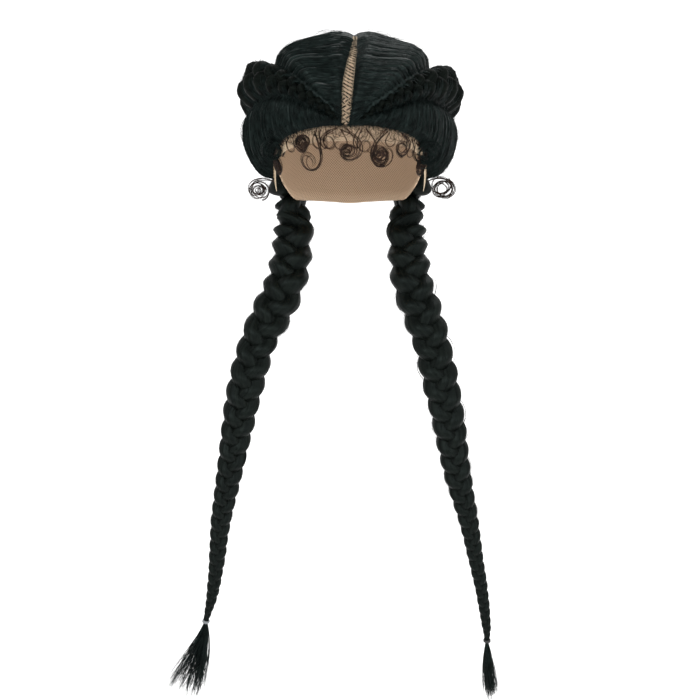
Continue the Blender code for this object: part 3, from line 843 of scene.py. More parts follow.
def thread_finish(name, colour, roughness):
    """Matt spun thread with slight changes of tone."""
    existing = bpy.data.materials.get(name)
    if existing:
        return existing
    material, shader, add, fill = base_material(name)
    source = add("ShaderNodeTexCoord").outputs["Object"]
    grain = stretched_noise(add, source, (1500, 1500, 1500), 2.0)
    fill(
        shader,
        Base_Color=blended(add, ranged(add, grain, 0.35, 0.65), toned(colour, 0.75), toned(colour, 1.15)),
        Roughness=ranged(add, grain, 0.3, 0.7, roughness - 0.05, roughness + 0.08),
        Normal=relief(add, grain, 0.4, 0.0001),
    )
    return material


def net_finish(name, colour, pitch):
    """Stretch net: crossing knitted threads with small dark holes."""
    existing = bpy.data.materials.get(name)
    if existing:
        return existing
    material, shader, add, fill = base_material(name)
    source = add("ShaderNodeUVMap", {"uv_map": "flow"}).outputs["UV"]
    split = add("ShaderNodeSeparateXYZ", None, source).outputs

    def calculated(kind, *values):
        return add("ShaderNodeMath", {"operation": kind}, *values).outputs[0]

    def wave(sign):
        slanting = calculated("MULTIPLY_ADD", split[1], sign, split[0])
        return calculated("ABSOLUTE", calculated("SINE", calculated("MULTIPLY", slanting, math.pi / pitch)))

    weave = calculated("MULTIPLY", wave(1.0), wave(-1.0))
    fill(
        shader,
        Base_Color=blended(add, ranged(add, weave, 0.45, 0.8), colour, toned(colour, 0.30)),
        Roughness=0.8,
        Normal=relief(add, weave, 0.7, 0.0004, invert=True),
        Specular_IOR_Level=0.25,
    )
    return material


# A sheet of combed hair: its edges and its end in the table of hair, its thickness along a hair, its side.
Sheet = namedtuple("Sheet", "edges thicknesses end_place side")


def combed(sheet, place):
    """The combed hair at one place: a function that gives the direction, base and top at each share.

    The base and the top are heights above the head form. Past share 1 the hair runs on under the braid.
    """
    start, end, under, full = sheet.edges(place)
    start, end, under = start.normalized(), end.normalized(), under.normalized()
    length = (on_head(start, 0) - on_head(end, 0)).length
    most = WIDEST_THICKNESS * length
    rooted = min(ROOT_SHARE, ROOT_LENGTH / max(length, 0.001))

    def at(share):
        height = max(min(curve_at(sheet.thicknesses, min(share, 1)) * full, most), HAIR_EDGE)
        grown = min(max(share / rooted, 0), 1)
        grown = math.sin(0.5 * math.pi * grown)
        base = CAP_WALL + 0.0001 + (HAIR_SEAT - CAP_WALL - 0.0001) * grown
        top = base + 0.0004 + (height - 0.0004) * grown
        if share <= 1:
            return mirrored(start.slerp(end, share), sheet.side), base, top
        return mirrored(end.slerp(under, (share - 1) / UNDER_SHARE), sheet.side), base, top

    return at


def laid(at, shares, lift):
    """Points this high over the combed hair, at these shares of its run."""
    points = []
    for share in shares:
        towards, _, top = at(share)
        points.append(on_head(towards, top + lift))
    return points


def lock_relief(settings, across, share, seed):
    """How far the hair stands out here: rounded locks of uneven width with finer ridges on them."""
    drift = 0.0030 * noise.noise(Vector((across * 45, share * 2.2, seed)))
    place = (across + drift) / settings.lock_width
    place += 0.55 * noise.noise(Vector((place * 0.6, share * 0.9, seed + 9)))
    wave = abs(math.sin(math.pi * place))
    lock = 0.5 * wave**0.7 + 0.5 * wave**2 - 0.6
    ridge = noise.noise(Vector(((across + drift) * 700, share * 4, seed + 5)))
    fade = min(1, 5 * share) * min(1, 8 * (1 - share) + 0.3)
    gathered = 0.8 + 0.9 * min(share, 1) ** 2
    return (settings.lock_depth * gathered * lock + 0.00045 * ridge) * max(fade, 0)


def even_places(sheet, end_place, spacing):
    """Places along a sheet of hair at even distances, each with its distance from the first."""
    count = 400
    marks = []
    travelled = 0.0
    previous = None
    for step in range(count + 1):
        place = FIRST_PLACE + (end_place - FIRST_PLACE) * step / count
        start, end, _, _ = sheet.edges(place)
        point = on_head(start.normalized().slerp(end.normalized(), 0.55), 0.005)
        if previous is not None:
            travelled += (point - previous).length
        previous = point
        marks.append((travelled, place))
    steps = max(2, round(travelled / spacing))
    places = []
    index = 0
    for step in range(steps + 1):
        wanted = travelled * step / steps
        while index < count - 1 and marks[index + 1][0] < wanted:
            index += 1
        (low, first), (high, second) = marks[index], marks[index + 1]
        share = (wanted - low) / (high - low) if high > low else 0
        places.append((first + share * (second - first), wanted))
    return places


def opened(place):
    """How far the combed hair keeps off the braid's path: nothing at its very start."""
    return min(max(1 - place / FIRST_PLACE, 0), 1) if place < 0 else 1


def hair_edges(side):
    """The edges of the crown hair and of the side hair on this side, made for the left."""

    def crown_edges(place):
        row = smooth_row(HAIR, place)
        angle = max(row.part_angle, PARTING[0].angle + 0.4)
        part = row_at(PARTING, 0, angle)
        inner = part.shown + side * part.drift
        outer = beside_braid(place, side, -(row.braid_half + BRAID_GAP) * opened(place))
        under = beside_braid(place, side, -UNDER_BRAID * row.braid_half)
        return parting_direction(angle, inner), outer, under, row.crown_full

    def side_edges(place):
        row = smooth_row(HAIR, place)
        rim = rim_row(row.rim_azimuth)
        fade = min(max(0, 1 - place / 2), 1)
        front_drift = Vector((side * PARTING[0].drift / HEAD_FRONT * fade, 0, 0))
        return (
            direction(max(row.rim_azimuth, 0), rim.elevation + 0.3) + front_drift,
            beside_braid(place, side, (row.braid_half + BRAID_GAP) * opened(place)),
            beside_braid(place, side, UNDER_BRAID * row.braid_half),
            row.side_full,
        )

    return crown_edges, side_edges


def braid_surface(place, side, angle, reach):
    """A point on the head braid's surface: angle 0 is its edge towards the hairline, 180 the other."""
    here, row, across = braid_frame(place, side)
    turn = math.radians(angle)
    towards = here - HEAD_CENTRE + across * math.cos(turn) * reach * row.braid_half
    seat = BRAID_SEAT + row.braid_lift
    return mirrored(on_head(towards, seat + math.sin(turn) * reach * row.braid_height), side)


def add_locks(name, node, sheet, seed):
    """A grooved sheet of combed hair."""
    settings = bpy.context.scene.wig_hair
    shares = [row / SHEET_ROWS for row in range(SHEET_ROWS + 1)]
    shares += [1 + UNDER_SHARE / 2, 1 + UNDER_SHARE]
    low, high, flow = [], [], []
    for place, travelled in even_places(sheet, sheet.end_place, LOCK_SPACING):
        at = combed(sheet, place)
        lower, upper, marks = [], [], []
        for share in shares:
            towards, base, top = at(share)
            relief = lock_relief(settings, travelled, share, seed)
            lower.append(on_head(towards, base))
            upper.append(on_head(towards, max(top + relief, base + 0.0004)))
            marks.append((share * 0.09, travelled))
        low.append(lower)
        high.append(upper)
        flow.append(marks)
    finish = hair_finish("combed hair", settings.colour, True)
    claim(add_sheet(name + "_locks", low, high, flow, finish), "hair", node)


def add_fed_strands(name, sheet, seed, into_braid):
    """Separate strands that lie on the combed hair, many of them fed into the braid at their end.

    into_braid is the angle at which they meet the braid and the way that they turn over it.
    """
    settings = bpy.context.scene.wig_hair
    chance = random.Random(seed)
    places = even_places(sheet, sheet.end_place, FED_SPACING)
    guides = []
    steps = 8
    for _ in range(FED_GUIDES):
        place, travelled = places[chance.randrange(len(places))]
        at = combed(sheet, place)
        start = 0.02 + 0.10 * chance.random() ** 2
        fed = chance.random() < FED_SHARE
        end = 1.0 if fed else 0.99 - 0.3 * chance.random() ** 2
        points = []
        for step in range(steps + 1):
            share = start + (end - start) * step / steps
            towards, _, top = at(share)
            relief = lock_relief(settings, travelled, share, seed)
            points.append(on_head(towards, top + relief))
        if fed:
            first, turn = into_braid
            climb = chance.uniform(30, 75)
            for step in (0.2, 0.45, 0.7, 1.0):
                further = min(place + 0.10 * step, len(HAIR) - 1)
                angle = first + turn * (10 + climb * step)
                points.append(braid_surface(further, sheet.side, angle, 0.95 - 0.12 * step**2))
        guides.append(trail(points))
    add_hair(name + "_strands", guides, FED_BUNCH, seed, radius=settings.strand_radius)


def add_flyaways(name, sheets, seed):
    """Fine loose hairs that stand off the combed hair, so many for each sheet."""
    chance = random.Random(seed)
    guides = []
    for sheet, number in sheets:
        for _ in range(number):
            at = combed(sheet, sheet.end_place * chance.random())
            start = chance.uniform(0.05, 0.7)
            length = chance.uniform(0.15, 0.4)
            stand = chance.uniform(0.0008, 0.0045)
            drift = chance.uniform(-0.03, 0.03)
            points = []
            for step in range(9):
                along = step / 8
                share = min(start + length * along, 0.98)
                towards, _, top = at(share)
                towards = towards + Vector((0, drift * along**2, 0))
                lifted = stand * along**1.5
                if drift > 0:
                    lifted = stand * math.sin(math.pi * min(along * 1.15, 1))
                points.append(on_head(towards, top + 0.0004 + lifted))
            guides.append(trail(points))
    add_hair(name, guides, FLYAWAY_BUNCH, seed)


def add_hairline(name, sheet, seed):
    """Short hairs knotted into the lace in slanting pairs, that lie back over the edge of the hair."""
    chance = random.Random(seed)
    guides = []
    for place, travelled in even_places(sheet, HAIRLINE_END, HAIRLINE_SPACING):
        start = sheet.edges(place)[0].normalized()
        at = combed(sheet, place)
        slant = math.asin(math.sin(2 * math.pi * travelled / KNOT_PERIOD)) * 2 / math.pi
        drop = math.radians(0.5 + 0.8 * (1 + slant) + chance.uniform(-0.2, 0.5))
        lean = 0.010 * slant + chance.uniform(-0.006, 0.006)
        root = mirrored(start - Vector((lean, 0, drop)), sheet.side)
        points = [on_head(root, LACE_WALL)]
        points.append(on_head(root.lerp(at(0)[0], 0.6), LACE_WALL + 0.0010))
        reach = chance.uniform(0.12, 0.40)
        points += laid(at, [reach * step / 4 for step in range(5)], 0.0002)
        guides.append(trail(points, soft=0.3))
    add_hair(name, guides, HAIRLINE_BUNCH, seed)


def add_parting_edge(name, sheet, seed):
    """Hairs from the edge of the parting, that lead out over the crown hair."""
    chance = random.Random(seed)
    guides = []
    for place, _ in even_places(sheet, PARTING_END, PARTING_SPACING):
        start = sheet.edges(place)[0].normalized()
        inwards = Vector((chance.uniform(0, 0.0016) / HEAD_CROWN, 0, 0))
        points = [on_head(mirrored(start - inwards, sheet.side), CAP_WALL + GAP + LACE_WALL)]
        reach = chance.uniform(0.06, 0.22)
        points += laid(combed(sheet, place), [reach * step / 5 for step in range(6)], 0.0003)
        guides.append(trail(points, soft=0.3))
    add_hair(name, guides, PARTING_BUNCH, seed)


def parting_point(angle, lane, height):
    """A point over the parting: lane runs from -1 to 1 across the strip that the hair leaves open."""
    part = row_at(PARTING, 0, angle)
    return on_head(parting_direction(angle, part.drift + lane * part.shown), height)


def knot_guide(ends, room):
    """A short knotted tuft between two points on the lace."""
    start, end = ends
    points = [start.lerp(end, share) for share in (0, 0.35, 0.7, 1)]
    return [
        (point, beside, outward, room, 1 - 0.6 * abs(2 * share - 1))
        for (point, beside, outward, _, _), share in zip(trail(points, soft=0), (0, 0.35, 0.7, 1))
    ]


def parting_knots():
    """Guides for the dark knots in the parting: up to three lanes of slanting ticks, crossed in front."""
    height = CAP_WALL + GAP + LACE_WALL + 0.0002
    guides = []
    rows = round((PARTING_LACE_END - PARTING[0].angle) / KNOT_STEP_DEGREES)
    for row in range(rows):
        angle = PARTING[0].angle + 1.2 + row * KNOT_STEP_DEGREES
        shown = row_at(PARTING, 0, angle).shown
        lanes = max(1, round(2 * shown / KNOT_LANE))
        for number in range(lanes):
            lane = (2 * number + 1) / lanes - 1
            slant = 1 if angle > 40 or (row + number) % 2 else -1
            stagger = 0.45 * KNOT_STEP_DEGREES * (number % 2)
            ends = [
                parting_point(
                    min(angle + stagger + 0.30 * KNOT_STEP_DEGREES * turn, PARTING_LACE_END),
                    lane - 0.85 * turn * slant / lanes,
                    height,
                )
                for turn in (-1, 1)
            ]
            guides.append(knot_guide(ends, 1.0))
    return guides


def hairline_knots(chance):
    """Guides for the zigzag of knots on the front lace, just below the hairline."""
    guides = []
    for row, drop in enumerate(KNOT_DROPS):
        azimuth = -KNOT_END_AZIMUTH
        slant = 1
        while azimuth < KNOT_END_AZIMUTH:
            azimuth += KNOT_AZIMUTH_STEP
            slant = -slant
            if row == 2 and chance.random() < KNOTS_LEFT_OUT:
                continue
            rim = rim_row(azimuth)
            ends = [
                on_head(
                    direction(azimuth + 0.45 * turn * slant, rim.elevation - drop - 0.55 * turn),
                    LACE_WALL + 0.0003,
                )
                for turn in (-1, 1)
            ]
            guides.append(knot_guide(ends, 1.0 - 0.25 * row))
    return guides


class WIG_OT_combed_hair(bpy.types.Operator):
    """Comb the crown hair out from the parting and the side hair up from the hairline."""

    bl_idname = "wig.combed_hair"
    bl_label = "Combed hair"

    def execute(self, context):
        last = len(HAIR) - 1
        for side, word in SIDES:
            crown_edges, side_edges = hair_edges(side)
            full = [value * CROWN_FULLNESS[side] for value in CROWN_THICKNESS]
            crown = Sheet(crown_edges, full, last, side)
            flank = Sheet(side_edges, SIDE_THICKNESS, SIDE_HAIR_END, side)
            sheets = (("crown", crown, 11 + side, (180, -1)), ("side", flank, 31 + side, (0, 1)))
            for kind, sheet, seed, _ in sheets:
                add_locks(f"{kind}_{word}", f"{kind}_hair_{word}", sheet, seed)
            for kind, sheet, seed, into_braid in sheets:
                add_fed_strands(f"{kind}_{word}", sheet, seed, into_braid)
            add_hairline("hairline_" + word, flank, seed=41 + side)
            add_parting_edge("parting_edge_" + word, crown, seed=141 + side)
            numbers = ((crown, CROWN_FLYAWAYS), (flank, SIDE_FLYAWAYS))
            add_flyaways("flyaways_" + word, numbers, seed=45 + side)
        add_hair("parting_knots", parting_knots(), PARTING_KNOT, seed=151)
        add_hair("hairline_knots", hairline_knots(random.Random(152)), HAIRLINE_KNOT, seed=153)
        return {"FINISHED"}


Station = namedtuple("Station", "at half depth turned outward")


def head_braid_stations(side):
    """Stations along a head braid. Its weave ends in step with the hanging plait that it runs into."""
    last = len(HAIR) - 1
    step_turn = 2 * math.pi / HEAD_BRAID_RINGS
    marks = []
    turned = 0.0
    previous = None
    for step in range(round(FIRST_PLACE * STEPS_PER_ROW), last * STEPS_PER_ROW + 1):
        here, row, across = braid_frame(step / STEPS_PER_ROW, side)
        if previous is not None:
            turned += weave_turn((here - previous).length, row.braid_half)
        previous = here
        marks.append((turned, here, row, across))
    stations = []
    wanted = 0.0
    for turned_here, here, row, across in marks:
        if turned_here < wanted and turned_here < turned:
            continue
        wanted += step_turn
        seat = BRAID_SEAT + row.braid_lift

        def at(offset, height, here=here, across=across, seat=seat):
            return mirrored(
                on_head(here - HEAD_CENTRE + across * offset, seat + max(height, 0)), side
            )

        outward = mirrored((here - HEAD_CENTRE).normalized(), side)
        stations.append(Station(at, row.braid_half, row.braid_height, turned_here - turned, outward))
    return stations


def plait_stations(plait, side):
    """Stations down a hanging plait, and the middle and direction of its end, made for the left."""
    here, _, first_across = braid_frame(len(HAIR) - 1, side)
    outward = (here - HEAD_CENTRE).normalized()
    first_down = outward.cross(first_across)
    start = on_head(outward, START_HEIGHT) + first_down * START_GAP
    rows = [Plait(start.x, start.y, start.z, START_HALF_WIDTH), *plait]
    step_turn = 2 * math.pi / PLAIT_RINGS
    last = len(rows) - 1
    stations = []
    turned, wanted, travelled = 0.0, 0.0, 0.0
    previous = None
    for step in range(last * STEPS_PER_ROW + 1):
        row = smooth_row(rows, step / STEPS_PER_ROW)
        point = Vector((row.out, row.y, row.z))
        if previous is not None:
            length = (point - previous).length
            travelled += length
            turned += weave_turn(length, row.half_width)
        previous = point
        if turned < wanted and step < last * STEPS_PER_ROW:
            continue
        wanted += step_turn
        ahead = smooth_row(rows, min((step + 1) / STEPS_PER_ROW, last))
        behind = smooth_row(rows, max((step - 1) / STEPS_PER_ROW, 0))
        tangent = Vector((ahead.out - behind.out, ahead.y - behind.y, ahead.z - behind.z))
        settle = min(travelled / SETTLE_LENGTH, 1)
        tangent = first_down.lerp(tangent.normalized(), min(3 * settle, 1)).normalized()
        across = first_across.lerp(Vector((-1, 0, 0)), settle)
        across = (across - tangent * across.dot(tangent)).normalized()
        deep = tangent.cross(across).normalized()

        def at(offset, height, point=point, across=across, deep=deep):
            return mirrored(point + across * offset + deep * height, side)

        stations.append(
            Station(at, row.half_width, row.half_width * PLAIT_FLATNESS, turned, mirrored(deep, side))
        )
    return stations, point, tangent


def strand_centre(turned, strand):
    """Where one of the three woven strands is, as shares of the half width."""
    phase = turned + 2 * math.pi * strand / 3
    return STRAND_SWING * math.sin(phase), STRAND_DIVE * math.sin(2 * phase)


def add_woven(name, stations, seed, shine):
    """Three grooved strands woven round each other, and the separate hairs that lie on them."""
    settings = bpy.context.scene.wig_hair
    loops = []
    for strand in range(3):
        rings = []
        for station in stations:
            side, deep = strand_centre(station.turned, strand)
            ring = []
            for corner in range(STRAND_CORNERS):
                angle = 2 * math.pi * corner / STRAND_CORNERS
                around = Vector((math.cos(angle), math.sin(angle), station.turned * 0.5))
                broad = noise.noise(around + Vector((seed, 7 * strand, 0)))
                fine = noise.noise(Vector((corner * 7.3, station.turned * 0.6, seed + 3 * strand)))
                reach = STRAND_RADIUS * (1 + 0.05 * broad + 0.055 * fine)
                offset = (side + reach * math.cos(angle)) * station.half
                height = (deep + reach * math.sin(angle)) * station.depth
                ring.append(station.at(offset, height))
            rings.append(ring)
        loops.append(rings)
    # The woven strands take the darker braid colour, which is painted shade of the weave.
    finish = hair_finish(name + " hair", settings.braid_colour, True, 0.46, shine)
    claim(add_loft(name + "_strands", loops, finish), "hair", name)

    chance = random.Random(seed)
    marks = stations[::2]
    guides = []
    for strand in range(3):
        for hair in range(OVERLAY_HAIRS):
            angle = 2 * math.pi * (hair + 0.6 * chance.random()) / OVERLAY_HAIRS
            points = []
            for station in marks:
                side, deep = strand_centre(station.turned, strand)
                reach = STRAND_RADIUS * OVERLAY_REACH
                turn = angle + 0.2 * math.sin(station.turned + hair)
                offset = (side + reach * math.cos(turn)) * station.half
                height = (deep + reach * math.sin(turn)) * station.depth
                points.append(station.at(offset, height))
            rows = trail(points, [station.outward for station in marks], soft=0)
            widths = [station.half / FULL_HALF_WIDTH for station in marks]
            guides.append([(*row[:3], width, 0.45 + 0.55 * width) for row, width in zip(rows, widths)])
    # The hairs on the braids take the same darker colour, painted shade of the weave.
    finish = hair_finish("braid strands", settings.braid_colour, False, 0.45, 0.08)
    radius = 0.7 * settings.strand_radius
    add_hair(name + "_hairs", guides, WOVEN_BUNCH, seed, finish=finish, radius=radius)


class WIG_OT_head_braids(bpy.types.Operator):
    """Weave the raised braids that run round the head."""

    bl_idname = "wig.head_braids"
    bl_label = "Head braids"

    def execute(self, context):
        for side, word in SIDES:
            add_woven("head_braid_" + word, head_braid_stations(side), 51 + side, HEAD_BRAID_SHINE)
        return {"FINISHED"}


class WIG_OT_plaits(bpy.types.Operator):
    """Weave the two long plaits that hang in front of the shoulders."""

    bl_idname = "wig.plaits"
    bl_label = "Hanging plaits"

    def execute(self, context):
        for side, word, plait, _ in PLAITS:
            stations, _, _ = plait_stations(plait, side)
            add_woven("plait_" + word, stations, 71 + side, PLAIT_SHINE)
        return {"FINISHED"}


class WIG_OT_ties(bpy.types.Operator):
    """Wind the small elastics round the plaits' ends."""

    bl_idname = "wig.ties"
    bl_label = "Hair ties"

    def execute(self, context):
        last = TIE_TURNS * TIE_STEPS
        for side, word, plait, _ in PLAITS:
            _, end, tangent = plait_stations(plait, side)
            first = tangent.orthogonal().normalized()
            second = tangent.cross(first)
            guide = []
            for step in range(last + 1):
                angle = 2 * math.pi * step / TIE_STEPS
                out = first * math.cos(angle) + second * math.sin(angle)
                along = tangent * TIE_WIRE * 1.1 * (2 * step / last - 1)
                point = end + out * (TIE_WINDING_RADIUS + 0.0001 * math.sin(3 * angle)) + along
                guide.append((*(mirrored(vector, side) for vector in (point, tangent, out)), 1, 1))
            finish = thread_finish("elastic " + word, TIE_COLOURS[side], 0.5)
            piece = grow("tie_" + word, [guide], finish, TIE_THREAD_RADIUS, sides=8, seed=3)
            claim(piece, "elastic", "hair_tie_" + word)
        return {"FINISHED"}


class WIG_OT_tassels(bpy.types.Operator):
    """Fan out the loose hair below the ties."""

    bl_idname = "wig.tassels"
    bl_label = "Tassels"

    def execute(self, context):
        settings = context.scene.wig_hair
        for side, word, plait, tassel in PLAITS:
            _, end, _ = plait_stations(plait, side)
            chance = random.Random(91 + side)
            guides = []
            for lock in range(tassel.locks):
                fan = 2 * lock / (tassel.locks - 1) - 1
                reach_out = tassel.lean_out + (tassel.spread_out if fan > 0 else tassel.spread_in) * fan
                reach = Vector((reach_out, tassel.depth * (-1) ** lock, 0))
                length = tassel.length * (1 - 0.14 * abs(fan) - 0.09 * (lock % 2))
                for _ in range(TASSEL_GUIDES):
                    turn = 2 * math.pi * chance.random()
                    out = math.sqrt(chance.random())
                    own = length * (0.82 + 0.2 * chance.random())
                    outward = Vector((math.cos(turn), math.sin(turn), 0))
                    beside = Vector((-outward.y, outward.x, 0))
                    guide = []
                    for step in range(TASSEL_STEPS + 1):
                        along = step / TASSEL_STEPS
                        swell = tassel.lock_radius * math.sin(math.pi * 0.92 * along) ** 0.8 + 0.0011
                        point = end + reach * along**1.3
                        point += Vector((0, 0, -own * along))
                        point += outward * out * swell
                        placed = (mirrored(vector, side) for vector in (point, beside, outward))
                        guide.append((*placed, along, 1 - 0.7 * along**3))
                    guides.append(guide)
            radius = settings.strand_radius
            add_hair("loose_end_" + word, guides, TASSEL_BUNCH, 95 + side, "tassel_" + word, radius=radius)
        return {"FINISHED"}


def below_rim(towards):
    """The same direction, moved down where it would come over the hairline."""
    unit = towards.normalized()
    azimuth = math.degrees(math.atan2(unit.x, -unit.y))
    elevation = math.degrees(math.asin(unit.z))
    return direction(azimuth, min(elevation, rim_row(azimuth).elevation - 0.3))


Wisp = namedtuple("Wisp", "rooted across rise size oval tilt start root drop tight turns")


def random_wisp(curl, rooted, chance):
    """One wisp of a curl: whether it comes from the hairline, its place, shape, root and turns."""
    filled = not rooted and chance.random() < curl.fill
    loose = 1.45 if curl.stand_off and not filled else 1.12
    drift = 0.45 if curl.stand_off else 0.25
    return Wisp(
        rooted=rooted,
        across=chance.uniform(-drift, drift) * curl.radius,
        rise=chance.uniform(-drift, drift) * curl.radius,
        size=chance.uniform(0.55, 1.0) if filled else chance.uniform(0.86, loose),
        oval=chance.uniform(0.72, 1.0),
        tilt=chance.uniform(0, math.pi),
        start=chance.uniform(0, 2 * math.pi),
        root=chance.uniform(-3.5, 3.5),
        drop=chance.uniform(0.3, 2.2),
        tight=chance.uniform(0.5, 0.95) if filled else chance.uniform(0.05, 0.30),
        turns=chance.uniform(1.0, 1.7) if filled else chance.uniform(0.7, 1.1),
    )


def wisp_guide(curl, wisp, chance):
    """The path of one hair in a wisp, from the hairline or from the ring itself, round the ring."""
    centre_towards = direction(curl.azimuth, curl.elevation)
    facing = Vector((0, -1, 0)) if curl.stand_off else centre_towards
    across = Vector((0, 0, 1)).cross(facing).normalized()
    rise = facing.cross(across).normalized()
    centre = on_head(centre_towards, curl.stand_off)
    centre += across * (wisp.across + chance.gauss(0, 0.0003))
    centre += rise * (wisp.rise + chance.gauss(0, 0.0003))
    first = across * math.cos(wisp.tilt) + rise * math.sin(wisp.tilt)
    second = rise * math.cos(wisp.tilt) - across * math.sin(wisp.tilt)
    base_height = LACE_WALL + GAP + 0.0003
    root_rim = rim_row(curl.root_azimuth)
    root_azimuth = curl.root_azimuth + wisp.root + chance.uniform(-0.5, 0.5)
    root = on_head(direction(root_azimuth, root_rim.elevation - wisp.drop), base_height)
    away = root - centre
    first_angle, reach = wisp.start, 0.0
    if wisp.rooted:
        first_angle = math.atan2(away.dot(second) / wisp.oval, away.dot(first))
        reach = math.hypot(away.dot(second) / wisp.oval, away.dot(first))
    size = curl.radius * wisp.size * chance.uniform(0.94, 1.06)
    turns = curl.turns * wisp.turns * chance.uniform(0.92, 1.08)
    layer = chance.uniform(0, 1.3) * curl.half_thickness
    steps = 22
    path, outwards = [], []
    for step in range(steps + 1):
        share = step / steps
        angle = first_angle + 2 * math.pi * turns * share**1.3
        wind = math.exp(-6 * share) if wisp.rooted else 0.0
        distance = size * (1 - wisp.tight * share) * (1 - wind) + reach * wind
        point = centre + first * distance * math.cos(angle)
        point += second * distance * wisp.oval * math.sin(angle)
        lift = layer * min(1, 4 * share)
        if curl.stand_off:
            point += facing * (away.dot(facing) * wind + lift)
            outward = facing
        else:
            point = on_head(below_rim(point - HEAD_CENTRE), base_height + lift)
            outward = (point - HEAD_CENTRE).normalized()
        path.append(point)
        outwards.append(outward)
    guide = []
    for step, (point, beside, outward, _, _) in enumerate(trail(path, outwards, soft=0)):
        share = step / steps
        guide.append((point, beside, outward, 0.3 + 0.7 * min(1, 4 * share), 1 - 0.6 * share**2))
    return guide


def curl_guides(curl, chance):
    """The hairs of all the wisps of a curl."""
    guides = []
    for number in range(curl.wisps):
        rooted = number < ROOTED_WISPS
        wisp = random_wisp(curl, rooted, chance)
        for _ in range(ROOTED_HAIRS if rooted else WISP_HAIRS):
            guides.append(wisp_guide(curl, wisp, chance))
    return guides


def stray_guide(chance):
    """One loose baby hair: a short arc from the hairline that hooks to one side."""
    azimuth = chance.uniform(-46, 46)
    rim = rim_row(azimuth)
    towards = direction(azimuth, rim.elevation - chance.uniform(0.4, 1.6))
    length = chance.uniform(0.007, 0.020)
    bend = chance.choice((-1, 1)) * chance.uniform(1.5, 4.8)
    heading = chance.uniform(-0.7, 0.7)
    point = on_head(towards, LACE_WALL + GAP)
    path = []
    steps = 16
    for step in range(steps + 1):
        path.append(on_head(below_rim(point - HEAD_CENTRE), LACE_WALL + GAP + 0.0004))
        outward = (point - HEAD_CENTRE).normalized()
        across = Vector((0, 0, 1)).cross(outward).normalized()
        rise = outward.cross(across)
        angle = heading + bend * (step / steps) ** 1.4
        point = point + (across * math.sin(angle) - rise * math.cos(angle)) * length / steps
    return trail(path, soft=0.3)


class WIG_OT_baby_hair(bpy.types.Operator):
    """Curl the fine baby hair below the hairline."""

    bl_idname = "wig.baby_hair"
    bl_label = "Baby hair"

    def execute(self, context):
        settings = context.scene.wig_hair
        finish = hair_finish("baby hair", settings.baby_colour, False, 0.45)
        for number, curl in enumerate(CURLS):
            guides = curl_guides(curl, random.Random(200 + number))
            name = curl.name.replace("_curl", "_baby_curl")
            add_hair(name, guides, BABY_BUNCH, 210 + number, curl.name, finish=finish)
        for number, curl in enumerate(SWIRLS):
            guides = curl_guides(curl, random.Random(220 + number))
            add_hair(curl.name, guides, BABY_BUNCH, 225 + number)
        chance = random.Random(230)
        guides = [guide for loop in LOOPS for guide in curl_guides(loop, chance)]
        add_hair("baby_loops", guides, BABY_BUNCH, 231, finish=finish)
        guides = [stray_guide(chance) for _ in range(STRAY_HAIRS)]
        add_hair("baby_strays", guides, BABY_BUNCH, 232, finish=finish)
        return {"FINISHED"}


def lace_point(azimuth, share, height):
    """A point of the front lace: share 0 is its upper edge and 1 its lower edge."""
    rim = rim_row(azimuth)
    return on_head(
        direction(azimuth, rim.elevation - LACE_GAP_DEGREES - share * rim.lace_degrees), height
    )


def add_net(name, point_at, columns, rows, finish, radius):
    """A net of threads that cross on the slant, over a grid of columns and rows."""
    guides = []
    for lean in (-1, 1):
        for start in range(-rows, columns + rows + 1):
            points, outwards = [], []
            for row in range(rows + 1):
                column = start + lean * row
                if not 0 <= column <= columns:
                    continue
                height = LACE_WALL / 2 + lean * radius * 0.6
                point, outward = point_at(column / columns, row / rows, height)
                points.append(point)
                outwards.append(outward)
            if len(points) > 1:
                guides.append(trail(points, outwards, soft=0))
    for share in (0, 1):
        rim = [point_at(column / columns, share, LACE_WALL / 2) for column in range(columns + 1)]
        points, outwards = zip(*rim)
        guides.append(trail(points, outwards, soft=0, scale=1.6))
    return grow(name, guides, finish, radius, seed=5)


class WIG_OT_lace(bpy.types.Operator):
    """Knot the front lace and the lace strip in the parting."""

    bl_idname = "wig.lace"
    bl_label = "Lace"

    def execute(self, context):
        settings = context.scene.wig_lace
        finish = thread_finish("lace thread", settings.lace_colour, 0.7)

        def front(across, down, height):
            azimuth = LACE_END_AZIMUTH * (2 * across - 1)
            point = lace_point(azimuth, down, height)
            return point, (point - HEAD_CENTRE).normalized()

        columns = round(FRONT_NET_WIDTH / settings.mesh_pitch)
        rows = round(FRONT_NET_HEIGHT / settings.mesh_pitch)
        piece = add_net("front_net", front, columns, rows, finish, settings.thread_radius)
        claim(piece, "lace", "front_lace")

        def parting(down, across, height):
            start = PARTING[0].angle + 1
            angle = start + (PARTING_LACE_END - start) * down
            part = row_at(PARTING, 0, angle)
            sideways = part.drift + (2 * across - 1) * part.half_width
            towards = parting_direction(angle, sideways)
            point = on_head(towards, CAP_WALL + GAP + height)
            return point, (point - HEAD_CENTRE).normalized()

        radius = 1.3 * settings.thread_radius
        piece = add_net("parting_net", parting, PARTING_NET_COLUMNS, PARTING_NET_ROWS, finish, radius)
        claim(piece, "lace", "parting_lace")
        return {"FINISHED"}


